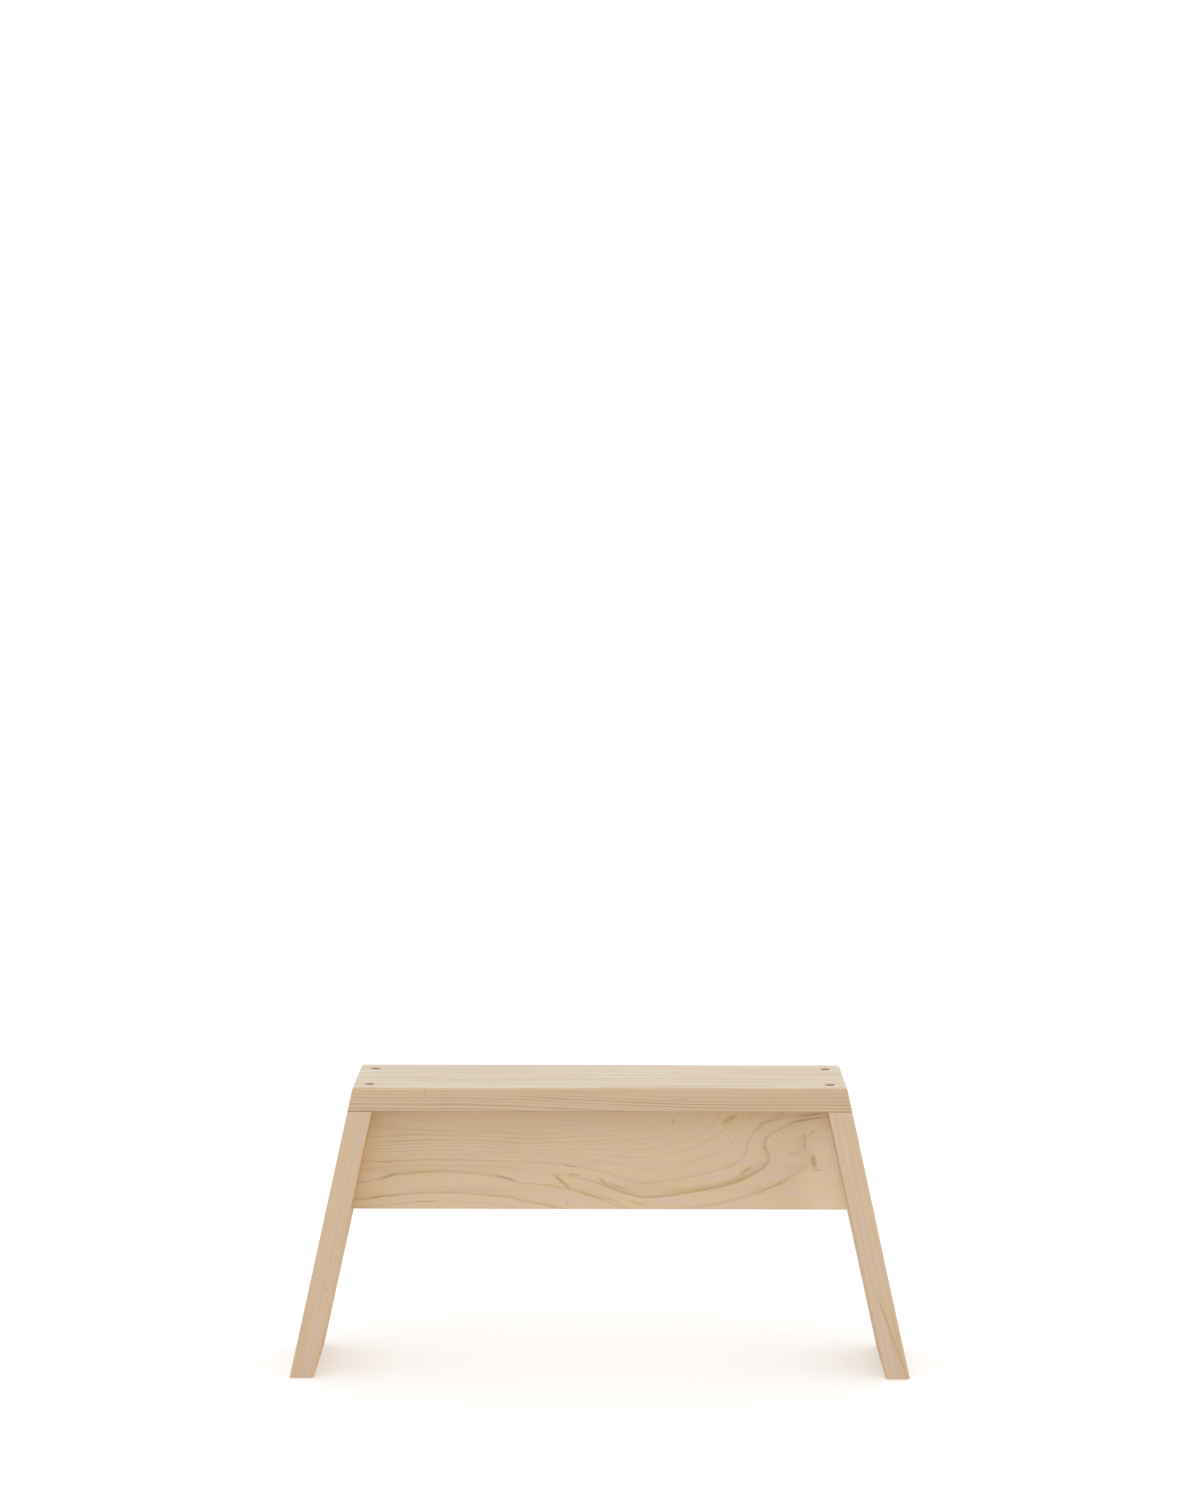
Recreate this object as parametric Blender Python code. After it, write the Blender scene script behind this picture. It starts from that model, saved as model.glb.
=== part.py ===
"""Low plank stool: four boards of one section with splayed legs, held by countersunk screws. Metres, +Z up.

X runs along the seat, the front faces -Y, and the origin is on the floor under the middle of the stool.
"""

import math

import bmesh
import bpy
from mathutils import Matrix, Vector

# Section of the sawn and planed board that every wooden piece is cut from.
BOARD_THICKNESS = 0.019
BOARD_WIDTH = 0.089

# Overall form, with the seat's length measured along its top face.
STOOL_HEIGHT = 0.238
SEAT_LENGTH = 0.394
LEG_SPLAY = math.radians(12.5)

# Rounded edges that a hand meets, lightly sanded ones elsewhere, and the room left between pieces.
ARRIS_RADIUS = 0.0022
SANDED_RADIUS = 0.0006
ARRIS_SEGMENTS = 4
FIT_GAP = 0.0003

# Countersunk wood screw, without its thread.
HEAD_RADIUS = 0.004
HEAD_RIM = 0.0004
HEAD_DEPTH = 0.0026
SHANK_RADIUS = 0.0019
TIP_LENGTH = 0.006
RECESS_SPAN = 0.0046
RECESS_WIDTH = 0.0012
RECESS_DEPTH = 0.0016
RECESS_ARMS = 4
ROUND_SIDES = 24
SMOOTH_ANGLE = math.radians(30.0)

# Seat screws lean with the legs, so their heads sink deeper to stay under the surface.
SEAT_SCREW_LENGTH = 0.045
SEAT_SCREW_SINK = 0.0012
SEAT_SCREW_FROM_END = 0.013
SEAT_SCREW_FROM_EDGE = 0.0155

# Apron screws pass square through the legs, at these drops below the seat.
APRON_SCREW_LENGTH = 0.05
APRON_SCREW_SINK = 0.0005
APRON_SCREW_DROPS = {"upper": 0.024, "lower": 0.065}

# How far a hole's mouth carries on outside the wood, so that its cut is clean.
MOUTH_LENGTH = 0.004

# Finishes: linear colour, roughness and metallic.
SEAT_FINISH = ((0.680, 0.545, 0.405), 0.55, 0.0)
LEG_FINISH = ((0.637, 0.479, 0.328), 0.58, 0.0)
APRON_FINISH = ((0.624, 0.474, 0.319), 0.58, 0.0)
SCREW_FINISH = ((0.120, 0.075, 0.045), 0.42, 0.85)

SIDES = {"left": -1, "right": 1}
ENDS = {"front": -1, "back": 1}

SLOPE = math.tan(LEG_SPLAY)
LEG_CUT_WIDTH = BOARD_THICKNESS / math.cos(LEG_SPLAY)
UNDERSIDE = STOOL_HEIGHT - BOARD_THICKNESS


def outer_x(z):
    """Distance from the middle to a leg's outer face at height z."""
    return SEAT_LENGTH / 2 + (STOOL_HEIGHT - z) * SLOPE


def inner_x(z):
    """Distance from the middle to a leg's inner face at height z."""
    return outer_x(z) - LEG_CUT_WIDTH


def link(name, mesh):
    """Puts a mesh into the scene as a named object."""
    obj = bpy.data.objects.new(name, mesh)
    bpy.context.scene.collection.objects.link(obj)
    return obj


def mesh_from(bm, name):
    """Turns a bmesh with outward faces into a mesh."""
    bmesh.ops.recalc_face_normals(bm, faces=bm.faces)
    mesh = bpy.data.meshes.new(name)
    bm.to_mesh(mesh)
    bm.free()
    return mesh


def dress(obj, finish):
    """Gives an object its own material."""
    colour, roughness, metallic = finish
    material = bpy.data.materials.new(obj.name + "_finish")
    material.use_nodes = True
    shader = next(node for node in material.node_tree.nodes if node.type == "BSDF_PRINCIPLED")
    shader.inputs["Base Color"].default_value = (*colour, 1.0)
    shader.inputs["Roughness"].default_value = roughness
    shader.inputs["Metallic"].default_value = metallic
    obj.data.materials.append(material)


def prism(bm, outline, start, end):
    """Extrudes a closed flat outline of points from the start offset to the end offset."""
    near = [bm.verts.new(point + start) for point in outline]
    far = [bm.verts.new(point + end) for point in outline]
    bm.faces.new(near)
    bm.faces.new(far)
    for i, vert in enumerate(near):
        follow = (i + 1) % len(near)
        bm.faces.new((vert, near[follow], far[follow], far[i]))


def board(name, profile, depth, finish, rounded, sanded=None):
    """Makes a board from its front profile, with the edges that the tests pick out eased.

    Each test is called with an edge's two ends and answers whether the edge gets that easing.
    """
    bm = bmesh.new()
    outline = [Vector((x, 0.0, z)) for x, z in profile]
    half = Vector((0.0, depth / 2, 0.0))
    prism(bm, outline, -half, half)
    weight = bm.edges.layers.float.new("bevel_weight_edge")
    for edge in bm.edges:
        ends = [vert.co for vert in edge.verts]
        if rounded(*ends):
            edge[weight] = 1.0
        elif sanded and sanded(*ends):
            edge[weight] = SANDED_RADIUS / ARRIS_RADIUS
    obj = link(name, mesh_from(bm, name))
    ease = obj.modifiers.new("eased_edges", "BEVEL")
    ease.limit_method = "WEIGHT"
    ease.width = ARRIS_RADIUS
    ease.segments = ARRIS_SEGMENTS
    dress(obj, finish)
    return obj


def both_at(height):
    """A test for edges that lie at one height."""
    return lambda a, b: math.isclose(a.z, b.z) and math.isclose(a.z, height, abs_tol=FIT_GAP)


def rising(a, b):
    """Tests for edges that climb."""
    return not math.isclose(a.z, b.z, abs_tol=FIT_GAP)


def make_seat():
    """The seat: rounded on top and at its corners, crisp where it meets the legs."""
    top, low = outer_x(STOOL_HEIGHT), outer_x(UNDERSIDE)
    profile = [(-top, STOOL_HEIGHT), (top, STOOL_HEIGHT), (low, UNDERSIDE), (-low, UNDERSIDE)]
    on_top = both_at(STOOL_HEIGHT)
    return board("seat_board", profile, BOARD_WIDTH, SEAT_FINISH, lambda a, b: on_top(a, b) or rising(a, b))


def make_leg(side_name):
    """One leg: mitred at the floor and under the seat, with its long edges rounded."""
    side = SIDES[side_name]
    head = UNDERSIDE - FIT_GAP
    profile = [(side * outer_x(head), head), (side * inner_x(head), head),
               (side * inner_x(0.0), 0.0), (side * outer_x(0.0), 0.0)]
    return board(side_name + "_leg", profile, BOARD_WIDTH, LEG_FINISH, rising, both_at(0.0))


def make_apron():
    """The apron: wider below than above, because its ends follow the legs."""
    head = UNDERSIDE - FIT_GAP
    foot = head - BOARD_WIDTH
    end_gap = FIT_GAP / math.cos(LEG_SPLAY)
    top, low = inner_x(head) - end_gap, inner_x(foot) - end_gap
    profile = [(-top, head), (top, head), (low, foot), (-low, foot)]
    along_foot = both_at(foot)
    return board("apron", profile, BOARD_THICKNESS, APRON_FINISH,
                 lambda a, b: along_foot(a, b) and not math.isclose(a.x, b.x))


def lathe(name, profile):
    """Turns a profile of radius and height pairs, from pole to pole, about Z."""
    bm = bmesh.new()
    rings = []
    for radius, z in profile:
        if radius == 0.0:
            rings.append([bm.verts.new((0.0, 0.0, z))])
            continue
        turns = [2 * math.pi * i / ROUND_SIDES for i in range(ROUND_SIDES)]
        rings.append([bm.verts.new((radius * math.cos(t), radius * math.sin(t), z)) for t in turns])
    for upper, lower in zip(rings, rings[1:]):
        for i in range(ROUND_SIDES):
            follow = (i + 1) % ROUND_SIDES
            corners = [upper[i % len(upper)], upper[follow % len(upper)],
                       lower[follow % len(lower)], lower[i % len(lower)]]
            bm.faces.new(dict.fromkeys(corners))
    return mesh_from(bm, name)


def screw_profile(length, room, mouth):
    """Outline of a screw, or of the hole for it when room and mouth aren't zero."""
    neck = HEAD_RIM + HEAD_DEPTH
    return [(0.0, mouth), (HEAD_RADIUS + room, mouth), (HEAD_RADIUS + room, -HEAD_RIM - room),
            (SHANK_RADIUS + room, -neck - room), (SHANK_RADIUS + room, -length + TIP_LENGTH - room),
            (0.0, -length - room)]


def hide_cutter(obj):
    """Marks a helper that only cuts."""
    obj.hide_render = True
    obj.display_type = "WIRE"


def cut(obj, cutter):
    """Takes a cutter's shape out of an object."""
    modifier = obj.modifiers.new(cutter.name, "BOOLEAN")
    modifier.operation = "DIFFERENCE"
    modifier.solver = "EXACT"
    modifier.object = cutter


def make_recess(name, frame):
    """The cross-shaped pocket that a driver fits."""
    arm, waist = RECESS_SPAN / 2, RECESS_WIDTH / 2
    quarter = [(arm, -waist), (arm, waist), (waist, waist)]
    turns = [Matrix.Rotation(2 * math.pi * i / RECESS_ARMS, 3, "Z") for i in range(RECESS_ARMS)]
    outline = [turn @ Vector((x, y, 0.0)) for turn in turns for x, y in quarter]
    bm = bmesh.new()
    prism(bm, outline, Vector((0.0, 0.0, HEAD_RIM)), Vector((0.0, 0.0, -RECESS_DEPTH)))
    obj = link(name, mesh_from(bm, name))
    obj.matrix_world = frame
    hide_cutter(obj)
    return obj


def make_screw(name, start, direction, length, sink, boards):
    """Drives one screw from a point on the surface, and cuts its hole through the boards."""
    turn = (-direction).to_track_quat("Z", "Y").to_matrix().to_4x4()
    frame = Matrix.Translation(start + direction * sink) @ turn
    screw = link(name, lathe(name, screw_profile(length, 0.0, 0.0)))
    screw.matrix_world = frame
    screw.data.shade_smooth()
    screw.data.set_sharp_from_angle(angle=SMOOTH_ANGLE)
    cut(screw, make_recess(name + "_recess", frame))
    dress(screw, SCREW_FINISH)
    hole = link(name + "_hole", lathe(name + "_hole", screw_profile(length, FIT_GAP, MOUTH_LENGTH)))
    hole.matrix_world = frame
    hide_cutter(hole)
    for piece in boards:
        cut(piece, hole)


def main():
    """Builds the stool from an empty scene."""
    for obj in list(bpy.data.objects):
        bpy.data.objects.remove(obj, do_unlink=True)
    seat = make_seat()
    legs = {name: make_leg(name) for name in SIDES}
    apron = make_apron()
    for side_name, side in SIDES.items():
        down = Vector((side * math.sin(LEG_SPLAY), 0.0, -math.cos(LEG_SPLAY)))
        for end_name, end in ENDS.items():
            start = Vector((side * (SEAT_LENGTH / 2 - SEAT_SCREW_FROM_END),
                            end * (BOARD_WIDTH / 2 - SEAT_SCREW_FROM_EDGE), STOOL_HEIGHT))
            make_screw(f"seat_screw_{side_name}_{end_name}", start, down, SEAT_SCREW_LENGTH, SEAT_SCREW_SINK,
                       (seat, legs[side_name]))
        inward = Vector((-side * math.cos(LEG_SPLAY), 0.0, -math.sin(LEG_SPLAY)))
        for level, drop in APRON_SCREW_DROPS.items():
            height = UNDERSIDE - drop
            start = Vector((side * inner_x(height), 0.0, height)) - inward * BOARD_THICKNESS
            make_screw(f"apron_screw_{side_name}_{level}", start, inward, APRON_SCREW_LENGTH, APRON_SCREW_SINK,
                       (legs[side_name], apron))


main()
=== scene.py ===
"""Low plank stool, dressed: four softwood boards held by sunk bronzed screws, in a white studio.

Metres, +Z up. X runs along the seat, the front faces -Y, and the origin is on the floor under the
stool's middle. Grain is worked out in millimetres of each board's own directions: along it, across
its width and through it.
"""

import logging
import math
from collections.abc import Sequence
from dataclasses import dataclass, field, replace
from enum import Enum
from functools import cached_property

import bmesh
import bpy
import numpy as np
from mathutils import Matrix, Vector


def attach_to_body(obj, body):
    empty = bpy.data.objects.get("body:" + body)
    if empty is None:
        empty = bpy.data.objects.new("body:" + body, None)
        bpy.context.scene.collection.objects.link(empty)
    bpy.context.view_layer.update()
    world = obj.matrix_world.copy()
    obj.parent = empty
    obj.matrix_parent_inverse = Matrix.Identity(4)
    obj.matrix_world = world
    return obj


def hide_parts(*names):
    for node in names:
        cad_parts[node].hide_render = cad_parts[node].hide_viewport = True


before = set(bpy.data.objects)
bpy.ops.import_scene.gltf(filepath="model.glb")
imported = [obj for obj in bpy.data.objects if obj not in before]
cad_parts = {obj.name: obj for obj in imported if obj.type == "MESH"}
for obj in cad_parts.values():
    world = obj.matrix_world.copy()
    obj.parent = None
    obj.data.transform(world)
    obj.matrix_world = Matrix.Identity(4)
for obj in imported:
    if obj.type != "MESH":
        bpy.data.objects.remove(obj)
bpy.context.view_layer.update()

log = logging.getLogger("plank_stool")

Colour = tuple[float, float, float]
Triple = tuple[float, float, float]
Span = tuple[float, float]

# Sizes that several pieces share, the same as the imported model's.
BOARD_THICKNESS = 0.019
BOARD_WIDTH = 0.089
STOOL_HEIGHT = 0.238
SEAT_LENGTH = 0.394
LEG_SPLAY = math.radians(12.5)
ARRIS_RADIUS = 0.0022
FIT_GAP = 0.0003
UNDERSIDE = STOOL_HEIGHT - BOARD_THICKNESS
SHOULDER = UNDERSIDE - FIT_GAP
LEAN = math.tan(LEG_SPLAY)

# How much the sharp edges at a joint are broken with sandpaper.
SEAM_BREAK = 0.00025

# Edges that turn by more than these angles stay sharp.
BOARD_CREASE = math.radians(32.0)
SCREW_CREASE = math.radians(38.0)

MILLIMETRES = 1000.0
NOISE_MEAN = 0.5
FULL_TURN = 2 * math.pi
QUARTER_TURN = math.pi / 2

# A Mix node's sockets for colours, which share their names with its other sockets.
MIX_SHARE, MIX_LOW, MIX_HIGH, MIX_RESULT = 0, 6, 7, 2


class Named(Enum):
    """Options whose names are a part of piece names."""

    @property
    def word(self) -> str:
        """The option's name as piece names use it."""
        return self.name.lower()


class Side(Named):
    """The two ends of the stool, with the sign of X there."""

    LEFT = -1
    RIGHT = 1


class Face(Named):
    """The front and back of the seat, with the sign of Y there."""

    FRONT = -1
    BACK = 1


class Level(Named):
    """The heights of the apron's screws, as drops below the seat."""

    UPPER = 0.024
    LOWER = 0.065


class Slot(Enum):
    """Names of material slots, one for each kind of part."""

    SEAT = "seat_wood"
    LEG = "leg_wood"
    APRON = "apron_wood"
    SCREW = "screw_metal"


class Tone(Enum):
    """Colours that growth leaves in a board apart from its rings, and painted light, shade and sheen."""

    RESIN = (0.470, 0.285, 0.100)
    TEAR = (0.360, 0.220, 0.110)
    # Painted shade under the seat's overhang on the apron's top.
    HEART = (0.610, 0.415, 0.215)
    # Painted light on the apron's right end, against the shade by the right leg.
    SAPWOOD = (0.820, 0.660, 0.470)
    # Painted warm light on the apron's left end and the legs' inner faces, where they lie in shade.
    AMBER = (0.850, 0.580, 0.310)
    STRAW = (0.655, 0.468, 0.285)
    # Painted sheen, paler and greyer, on the seat's top.
    PALED = (0.680, 0.610, 0.430)


class MarkFace(Enum):
    """The face of a board that a mark lies on."""

    WIDE = "one of the two wide faces"
    FRONT_EDGE = "the narrow edge that faces the front"


def outer_x(height: float) -> float:
    """Distance from the middle to a leg's outer face at a height."""
    return SEAT_LENGTH / 2 + (STOOL_HEIGHT - height) * LEAN


def inner_x(height: float) -> float:
    """Distance from the middle to a leg's inner face at a height."""
    return outer_x(height) - BOARD_THICKNESS / math.cos(LEG_SPLAY)


@dataclass(frozen=True)
class Signal:
    """A value that changes over a surface, which formulas can use with the usual signs."""

    wiring: "Wiring"
    socket: bpy.types.NodeSocket

    def __add__(self, other: "Signal | float") -> "Signal":
        """The sum."""
        return self.wiring.math("ADD", self, other)

    def __sub__(self, other: "Signal | float") -> "Signal":
        """The difference."""
        return self.wiring.math("SUBTRACT", self, other)

    def __rsub__(self, other: float) -> "Signal":
        """The difference from a plain number."""
        return self.wiring.math("SUBTRACT", other, self)

    def __mul__(self, other: "Signal | float") -> "Signal":
        """The product."""
        return self.wiring.math("MULTIPLY", self, other)

    def __truediv__(self, other: "Signal | float") -> "Signal":
        """The quotient."""
        return self.wiring.math("DIVIDE", self, other)

    def __neg__(self) -> "Signal":
        """The same size with the other sign."""
        return self.wiring.math("MULTIPLY", self, -1.0)

    def __abs__(self) -> "Signal":
        """The size without its sign."""
        return self.wiring.math("ABSOLUTE", self)

    __radd__ = __add__
    __rmul__ = __mul__


Operand = Signal | float | Sequence[float]


@dataclass(frozen=True)
class Tint:
    """A colour to lay over another, and how much of it shows where its mask is full."""

    colour: Colour
    share: float


class Wiring:
    """Adds nodes to one tree and joins them."""

    def __init__(self, tree: bpy.types.NodeTree) -> None:
        """Starts on a tree, which may already hold nodes."""
        self.tree = tree

    def node(self, kind: str, **settings: object) -> bpy.types.Node:
        """Adds a node.

        Args:
            kind: the node's type name, without its ShaderNode prefix.
            settings: properties to set on the node.

        Returns:
            The new node.
        """
        made = self.tree.nodes.new("ShaderNode" + kind)
        for name, value in settings.items():
            setattr(made, name, value)
        return made

    def feed(self, target: bpy.types.NodeSocket, value: Operand) -> None:
        """Joins a signal to a socket, or sets the socket to a plain value.

        Args:
            target: the input socket.
            value: a signal, a number or a list of numbers.
        """
        if isinstance(value, Signal):
            self.tree.links.new(value.socket, target)
        elif target.type == "RGBA" and len(value) == 3:
            target.default_value = (*value, 1.0)
        else:
            target.default_value = value

    def out(self, node: bpy.types.Node, name: str | int = 0) -> Signal:
        """One output of a node as a signal."""
        return Signal(self, node.outputs[name])

    def wire(self, kind: str, inputs: dict[str | int, Operand], output: str | int = 0,
             **settings: object) -> Signal:
        """Adds a node, feeds it and gives one of its outputs.

        Args:
            kind: the node's type name, without its ShaderNode prefix.
            inputs: values by the inputs' names or numbers.
            output: the output's name or number.
            settings: properties to set on the node.

        Returns:
            The output.
        """
        made = self.node(kind, **settings)
        for name, value in inputs.items():
            self.feed(made.inputs[name], value)
        return self.out(made, output)

    def math(self, operation: str, *operands: Operand) -> Signal:
        """A Math node of up to three operands."""
        return self.wire("Math", dict(enumerate(operands)), operation=operation)

    def root_of_squares(self, first: Signal, second: Signal | float) -> Signal:
        """The length of two numbers taken at right angles."""
        return self.math("SQRT", first * first + second * second)

    def vector_math(self, operation: str, output: str, *operands: Operand) -> Signal:
        """A Vector Math node."""
        return self.wire("VectorMath", dict(enumerate(operands)), output, operation=operation)

    def ease(self, value: Operand, low: Operand, high: Operand) -> Signal:
        """A smooth rise from 0 at low to 1 at high."""
        given = {"Value": value, "From Min": low, "From Max": high}
        return self.wire("MapRange", given, interpolation_type="SMOOTHSTEP")

    def fade(self, value: Operand, low: Operand, high: Operand) -> Signal:
        """A smooth fall from 1 at low to 0 at high."""
        return 1.0 - self.ease(value, low, high)

    def split(self, vector: Signal) -> tuple[Signal, Signal, Signal]:
        """The three numbers of a vector."""
        made = self.node("SeparateXYZ")
        self.feed(made.inputs[0], vector)
        return self.out(made, 0), self.out(made, 1), self.out(made, 2)

    def combine(self, x: Operand, y: Operand, z: Operand) -> Signal:
        """A vector of three numbers."""
        return self.wire("CombineXYZ", {0: x, 1: y, 2: z})

    def noise(self, vector: Operand, detail: float = 2.0, roughness: float = 0.5) -> Signal:
        """Smooth noise, from 0 to 1 about a mean of a half.

        Args:
            vector: where to read the noise, in lengths of its waves.
            detail: how many finer layers it has.
            roughness: how strong the finer layers are.

        Returns:
            The noise.
        """
        given = {"Vector": vector, "Scale": 1.0, "Detail": detail, "Roughness": roughness}
        return self.wire("TexNoise", given, "Fac")

    def blend(self, share: Operand, low: Operand, high: Operand) -> Signal:
        """A colour between two colours."""
        given = {MIX_SHARE: share, MIX_LOW: low, MIX_HIGH: high}
        return self.wire("Mix", given, MIX_RESULT, data_type="RGBA", clamp_factor=True)

    def lay(self, under: Signal, mask: Signal, tint: Tint) -> Signal:
        """A colour with a tint laid over it."""
        return self.blend(mask * tint.share, under, tint.colour)

    def mix(self, share: Operand, first: Signal, second: Signal) -> Signal:
        """A shader between two shaders."""
        return self.wire("MixShader", {0: share, 1: first, 2: second})

    def emboss(self, shader: bpy.types.Node, height: Signal, strength: float, depth: float) -> None:
        """Gives a shader a fine relief.

        Args:
            shader: the shader.
            height: how high the surface stands, from about 0 to 1.
            strength: how much of the relief shows.
            depth: the real height of 1, in metres.
        """
        given = {"Height": height, "Strength": strength, "Distance": depth}
        self.feed(shader.inputs["Normal"], self.wire("Bump", given))

    def group(self, tree: bpy.types.NodeTree, **inputs: Operand) -> dict[str, Signal]:
        """Places a node group.

        Args:
            tree: the group.
            inputs: its input values, named as its sockets with spaces as underscores.

        Returns:
            Its outputs by socket name.
        """
        made = self.node("Group", node_tree=tree)
        for name, value in inputs.items():
            self.feed(made.inputs[name.replace("_", " ")], value)
        return {socket.name: Signal(self, socket) for socket in made.outputs}


class GroupWiring(Wiring):
    """Builds a node group with named sockets."""

    def __init__(self, name: str) -> None:
        """Starts an empty group."""
        super().__init__(bpy.data.node_groups.new(name, "ShaderNodeTree"))
        self.entry = self.tree.nodes.new("NodeGroupInput")
        self.exit = self.tree.nodes.new("NodeGroupOutput")

    def take(self, name: str, kind: str = "Float") -> Signal:
        """Adds an input socket and gives its signal."""
        self.tree.interface.new_socket(name, in_out="INPUT", socket_type="NodeSocket" + kind)
        return self.out(self.entry, name)

    def give(self, name: str, value: Signal, kind: str = "Float") -> None:
        """Adds an output socket for a signal."""
        self.tree.interface.new_socket(name, in_out="OUTPUT", socket_type="NodeSocket" + kind)
        self.feed(self.exit.inputs[name], value)


@dataclass(frozen=True)
class Waves:
    """Noise drawn out along the grain, by the lengths of its waves in a board's directions.

    The shift moves it along the grain, so that two noises of like lengths don't follow each other.
    """

    along: Signal | float
    across: Signal | float
    through: Signal | float
    shift: float = 0.0
    detail: float = 2.0
    roughness: float = 0.5

    def scaled(self, length: Signal, width: Signal) -> "Waves":
        """The same waves, counted in another length and width."""
        return replace(self, along=length * self.along, across=width * self.across,
                       through=width * self.through)


class BoardPoint:
    """The point that is being shaded, in a board's own directions and in millimetres."""

    def __init__(self, wiring: Wiring, place: Signal) -> None:
        """Splits a place into its three directions."""
        self.wiring = wiring
        self.place = place
        self.along, self.across, self.through = wiring.split(place)

    def noise(self, waves: Waves) -> Signal:
        """Noise from 0 to 1.

        Args:
            waves: the noise's waves.

        Returns:
            The noise.
        """
        along = self.along / waves.along
        if waves.shift:
            along += waves.shift
        spot = self.wiring.combine(along, self.across / waves.across, self.through / waves.through)
        return self.wiring.noise(spot, waves.detail, waves.roughness)

    def swing(self, waves: Waves) -> Signal:
        """Noise from -1 to 1."""
        return (self.noise(waves) - NOISE_MEAN) / NOISE_MEAN


@dataclass
class GrainKit:
    """The node groups that all the wood shares, each built once.

    Waves of the fibre are in lengths and widths of a streak, the others in millimetres.
    """

    # The pith's wander across the grain, and the shift that parts its two directions.
    wander_wave: float = 50.0
    lift_shift: float = 17.0
    # A ring's own shiver: its waves in one of the wander's, their width, and its share of a ring.
    shiver_rate: float = 5.0
    shiver_wave: float = 1 / 0.06
    shiver_share: float = 0.15
    # How unevenly rings are spaced: over how many rings, by how much, and which noise is read.
    uneven_rings: float = 3.0
    uneven_share: float = 1.6
    uneven_seed: float = 4.0
    faintest_ring: float = 0.35
    # Where rings are faint and bold, and how far a ring's darkening reaches each way.
    bold_waves: Waves = Waves(34.0, 7.0, 7.0)
    bold_gain: float = 1.7
    bold_least: float = 0.15
    line_tail: float = 0.5
    latewood_reach: float = 0.5
    # Fine streaks, soft patches and sparse dark ticks, and how strong the noise is where a tick shows.
    streaks: Waves = Waves(1.0, 1.0, 1.0, detail=3.0, roughness=0.6)
    patches: Waves = Waves(4.0, 22.0, 22.0, shift=31.0, detail=1.0, roughness=0.6)
    ticks: Waves = Waves(0.22, 1.6, 1.6, shift=57.0, detail=0.0, roughness=0.6)
    tick_range: Span = (0.83, 0.92)
    # How a mark fades to its ends, to its sides and into the wood, and how ragged it is.
    mark_ends: Span = (0.3, 1.0)
    mark_sides: Span = (0.1, 1.0)
    mark_skin: Span = (1.5, 4.0)
    mark_waves: Waves = Waves(1 / 0.3, 1 / 0.3, 1 / 0.3, detail=3.0, roughness=0.65)
    jag_reach: float = 2.0
    # How squarely a face must cut the fibres to count as end grain, and where hands have rubbed.
    end_facing: Span = (0.80, 0.95)
    wear_waves: Waves = Waves(1 / 0.12, 1 / 0.12, 1 / 0.12)
    wear_range: Span = (0.25, 0.75)

    @cached_property
    def place(self) -> bpy.types.NodeTree:
        """A point of the stool in one board's own directions, in millimetres."""
        wiring = GroupWiring("board_place")
        origin = wiring.take("Origin", "Vector")
        directions = [wiring.take(name, "Vector") for name in ("Along", "Across", "Through")]
        point = wiring.out(wiring.node("TexCoord"), "Object")
        offset = wiring.vector_math("SUBTRACT", "Vector", point, origin)
        parts = [wiring.vector_math("DOT_PRODUCT", "Value", offset, way) * MILLIMETRES
                 for way in directions]
        wiring.give("Place", wiring.combine(*parts), "Vector")
        return wiring.tree

    @cached_property
    def log_rings(self) -> bpy.types.NodeTree:
        """Offset from the nearest ring about a pith that wanders along the board, and its strength."""
        wiring = GroupWiring("log_rings")
        point = BoardPoint(wiring, wiring.take("Place", "Vector"))
        pith_across, pith_through = wiring.take("Pith Across"), wiring.take("Pith Through")
        width, wander, reach, sink = (wiring.take(name) for name in
                                      ("Ring Width", "Wander", "Wander Length", "Sink"))
        wandering = Waves(reach, self.wander_wave, self.wander_wave)
        sway = point.swing(wandering)
        lift = point.swing(replace(wandering, shift=self.lift_shift))
        shiver = point.swing(Waves(reach / self.shiver_rate, self.shiver_wave, self.shiver_wave))
        side = point.across - pith_across + sway * wander
        rise = point.through - pith_through + lift * wander + sink
        radius = wiring.root_of_squares(side, rise) + shiver * width * self.shiver_share
        spacing = wiring.combine(radius / (width * self.uneven_rings), 0.0, self.uneven_seed)
        uneven = wiring.noise(spacing, detail=1.0) - NOISE_MEAN
        count = radius / width + uneven * self.uneven_share
        nearest = wiring.math("ROUND", count)
        chance = wiring.wire("TexWhiteNoise", {"W": nearest}, "Value", noise_dimensions="1D")
        wiring.give("Offset", (count - nearest) * width)
        wiring.give("Strength", chance * (1.0 - self.faintest_ring) + self.faintest_ring)
        return wiring.tree

    @cached_property
    def rings(self) -> bpy.types.NodeTree:
        """Latewood of the nearest ring: a soft darkening that ends in a thin line, bold or faint."""
        wiring = GroupWiring("growth_rings")
        point = BoardPoint(wiring, wiring.take("Place", "Vector"))
        offset, width, line_width, strength = (wiring.take(name) for name in
                                               ("Offset", "Ring Width", "Line Width", "Strength"))
        bold = point.noise(self.bold_waves) * self.bold_gain + self.bold_least
        shown = strength * bold * wiring.fade(offset, 0.0, line_width * self.line_tail)
        ahead = -offset
        wiring.give("Latewood", wiring.fade(ahead, 0.0, width * self.latewood_reach) * shown)
        wiring.give("Line", wiring.fade(ahead, 0.0, line_width) * shown)
        return wiring.tree

    @cached_property
    def fibre(self) -> bpy.types.NodeTree:
        """Fine streaks, soft patches and sparse dark ticks, all drawn out along the grain."""
        wiring = GroupWiring("wood_fibre")
        point = BoardPoint(wiring, wiring.take("Place", "Vector"))
        length, width = wiring.take("Streak Length"), wiring.take("Streak Width")
        wiring.give("Streaks", point.noise(self.streaks.scaled(length, width)))
        wiring.give("Patches", point.noise(self.patches.scaled(length, width)))
        ticks = point.noise(self.ticks.scaled(length, width))
        wiring.give("Ticks", wiring.ease(ticks, *self.tick_range))
        return wiring.tree

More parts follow.
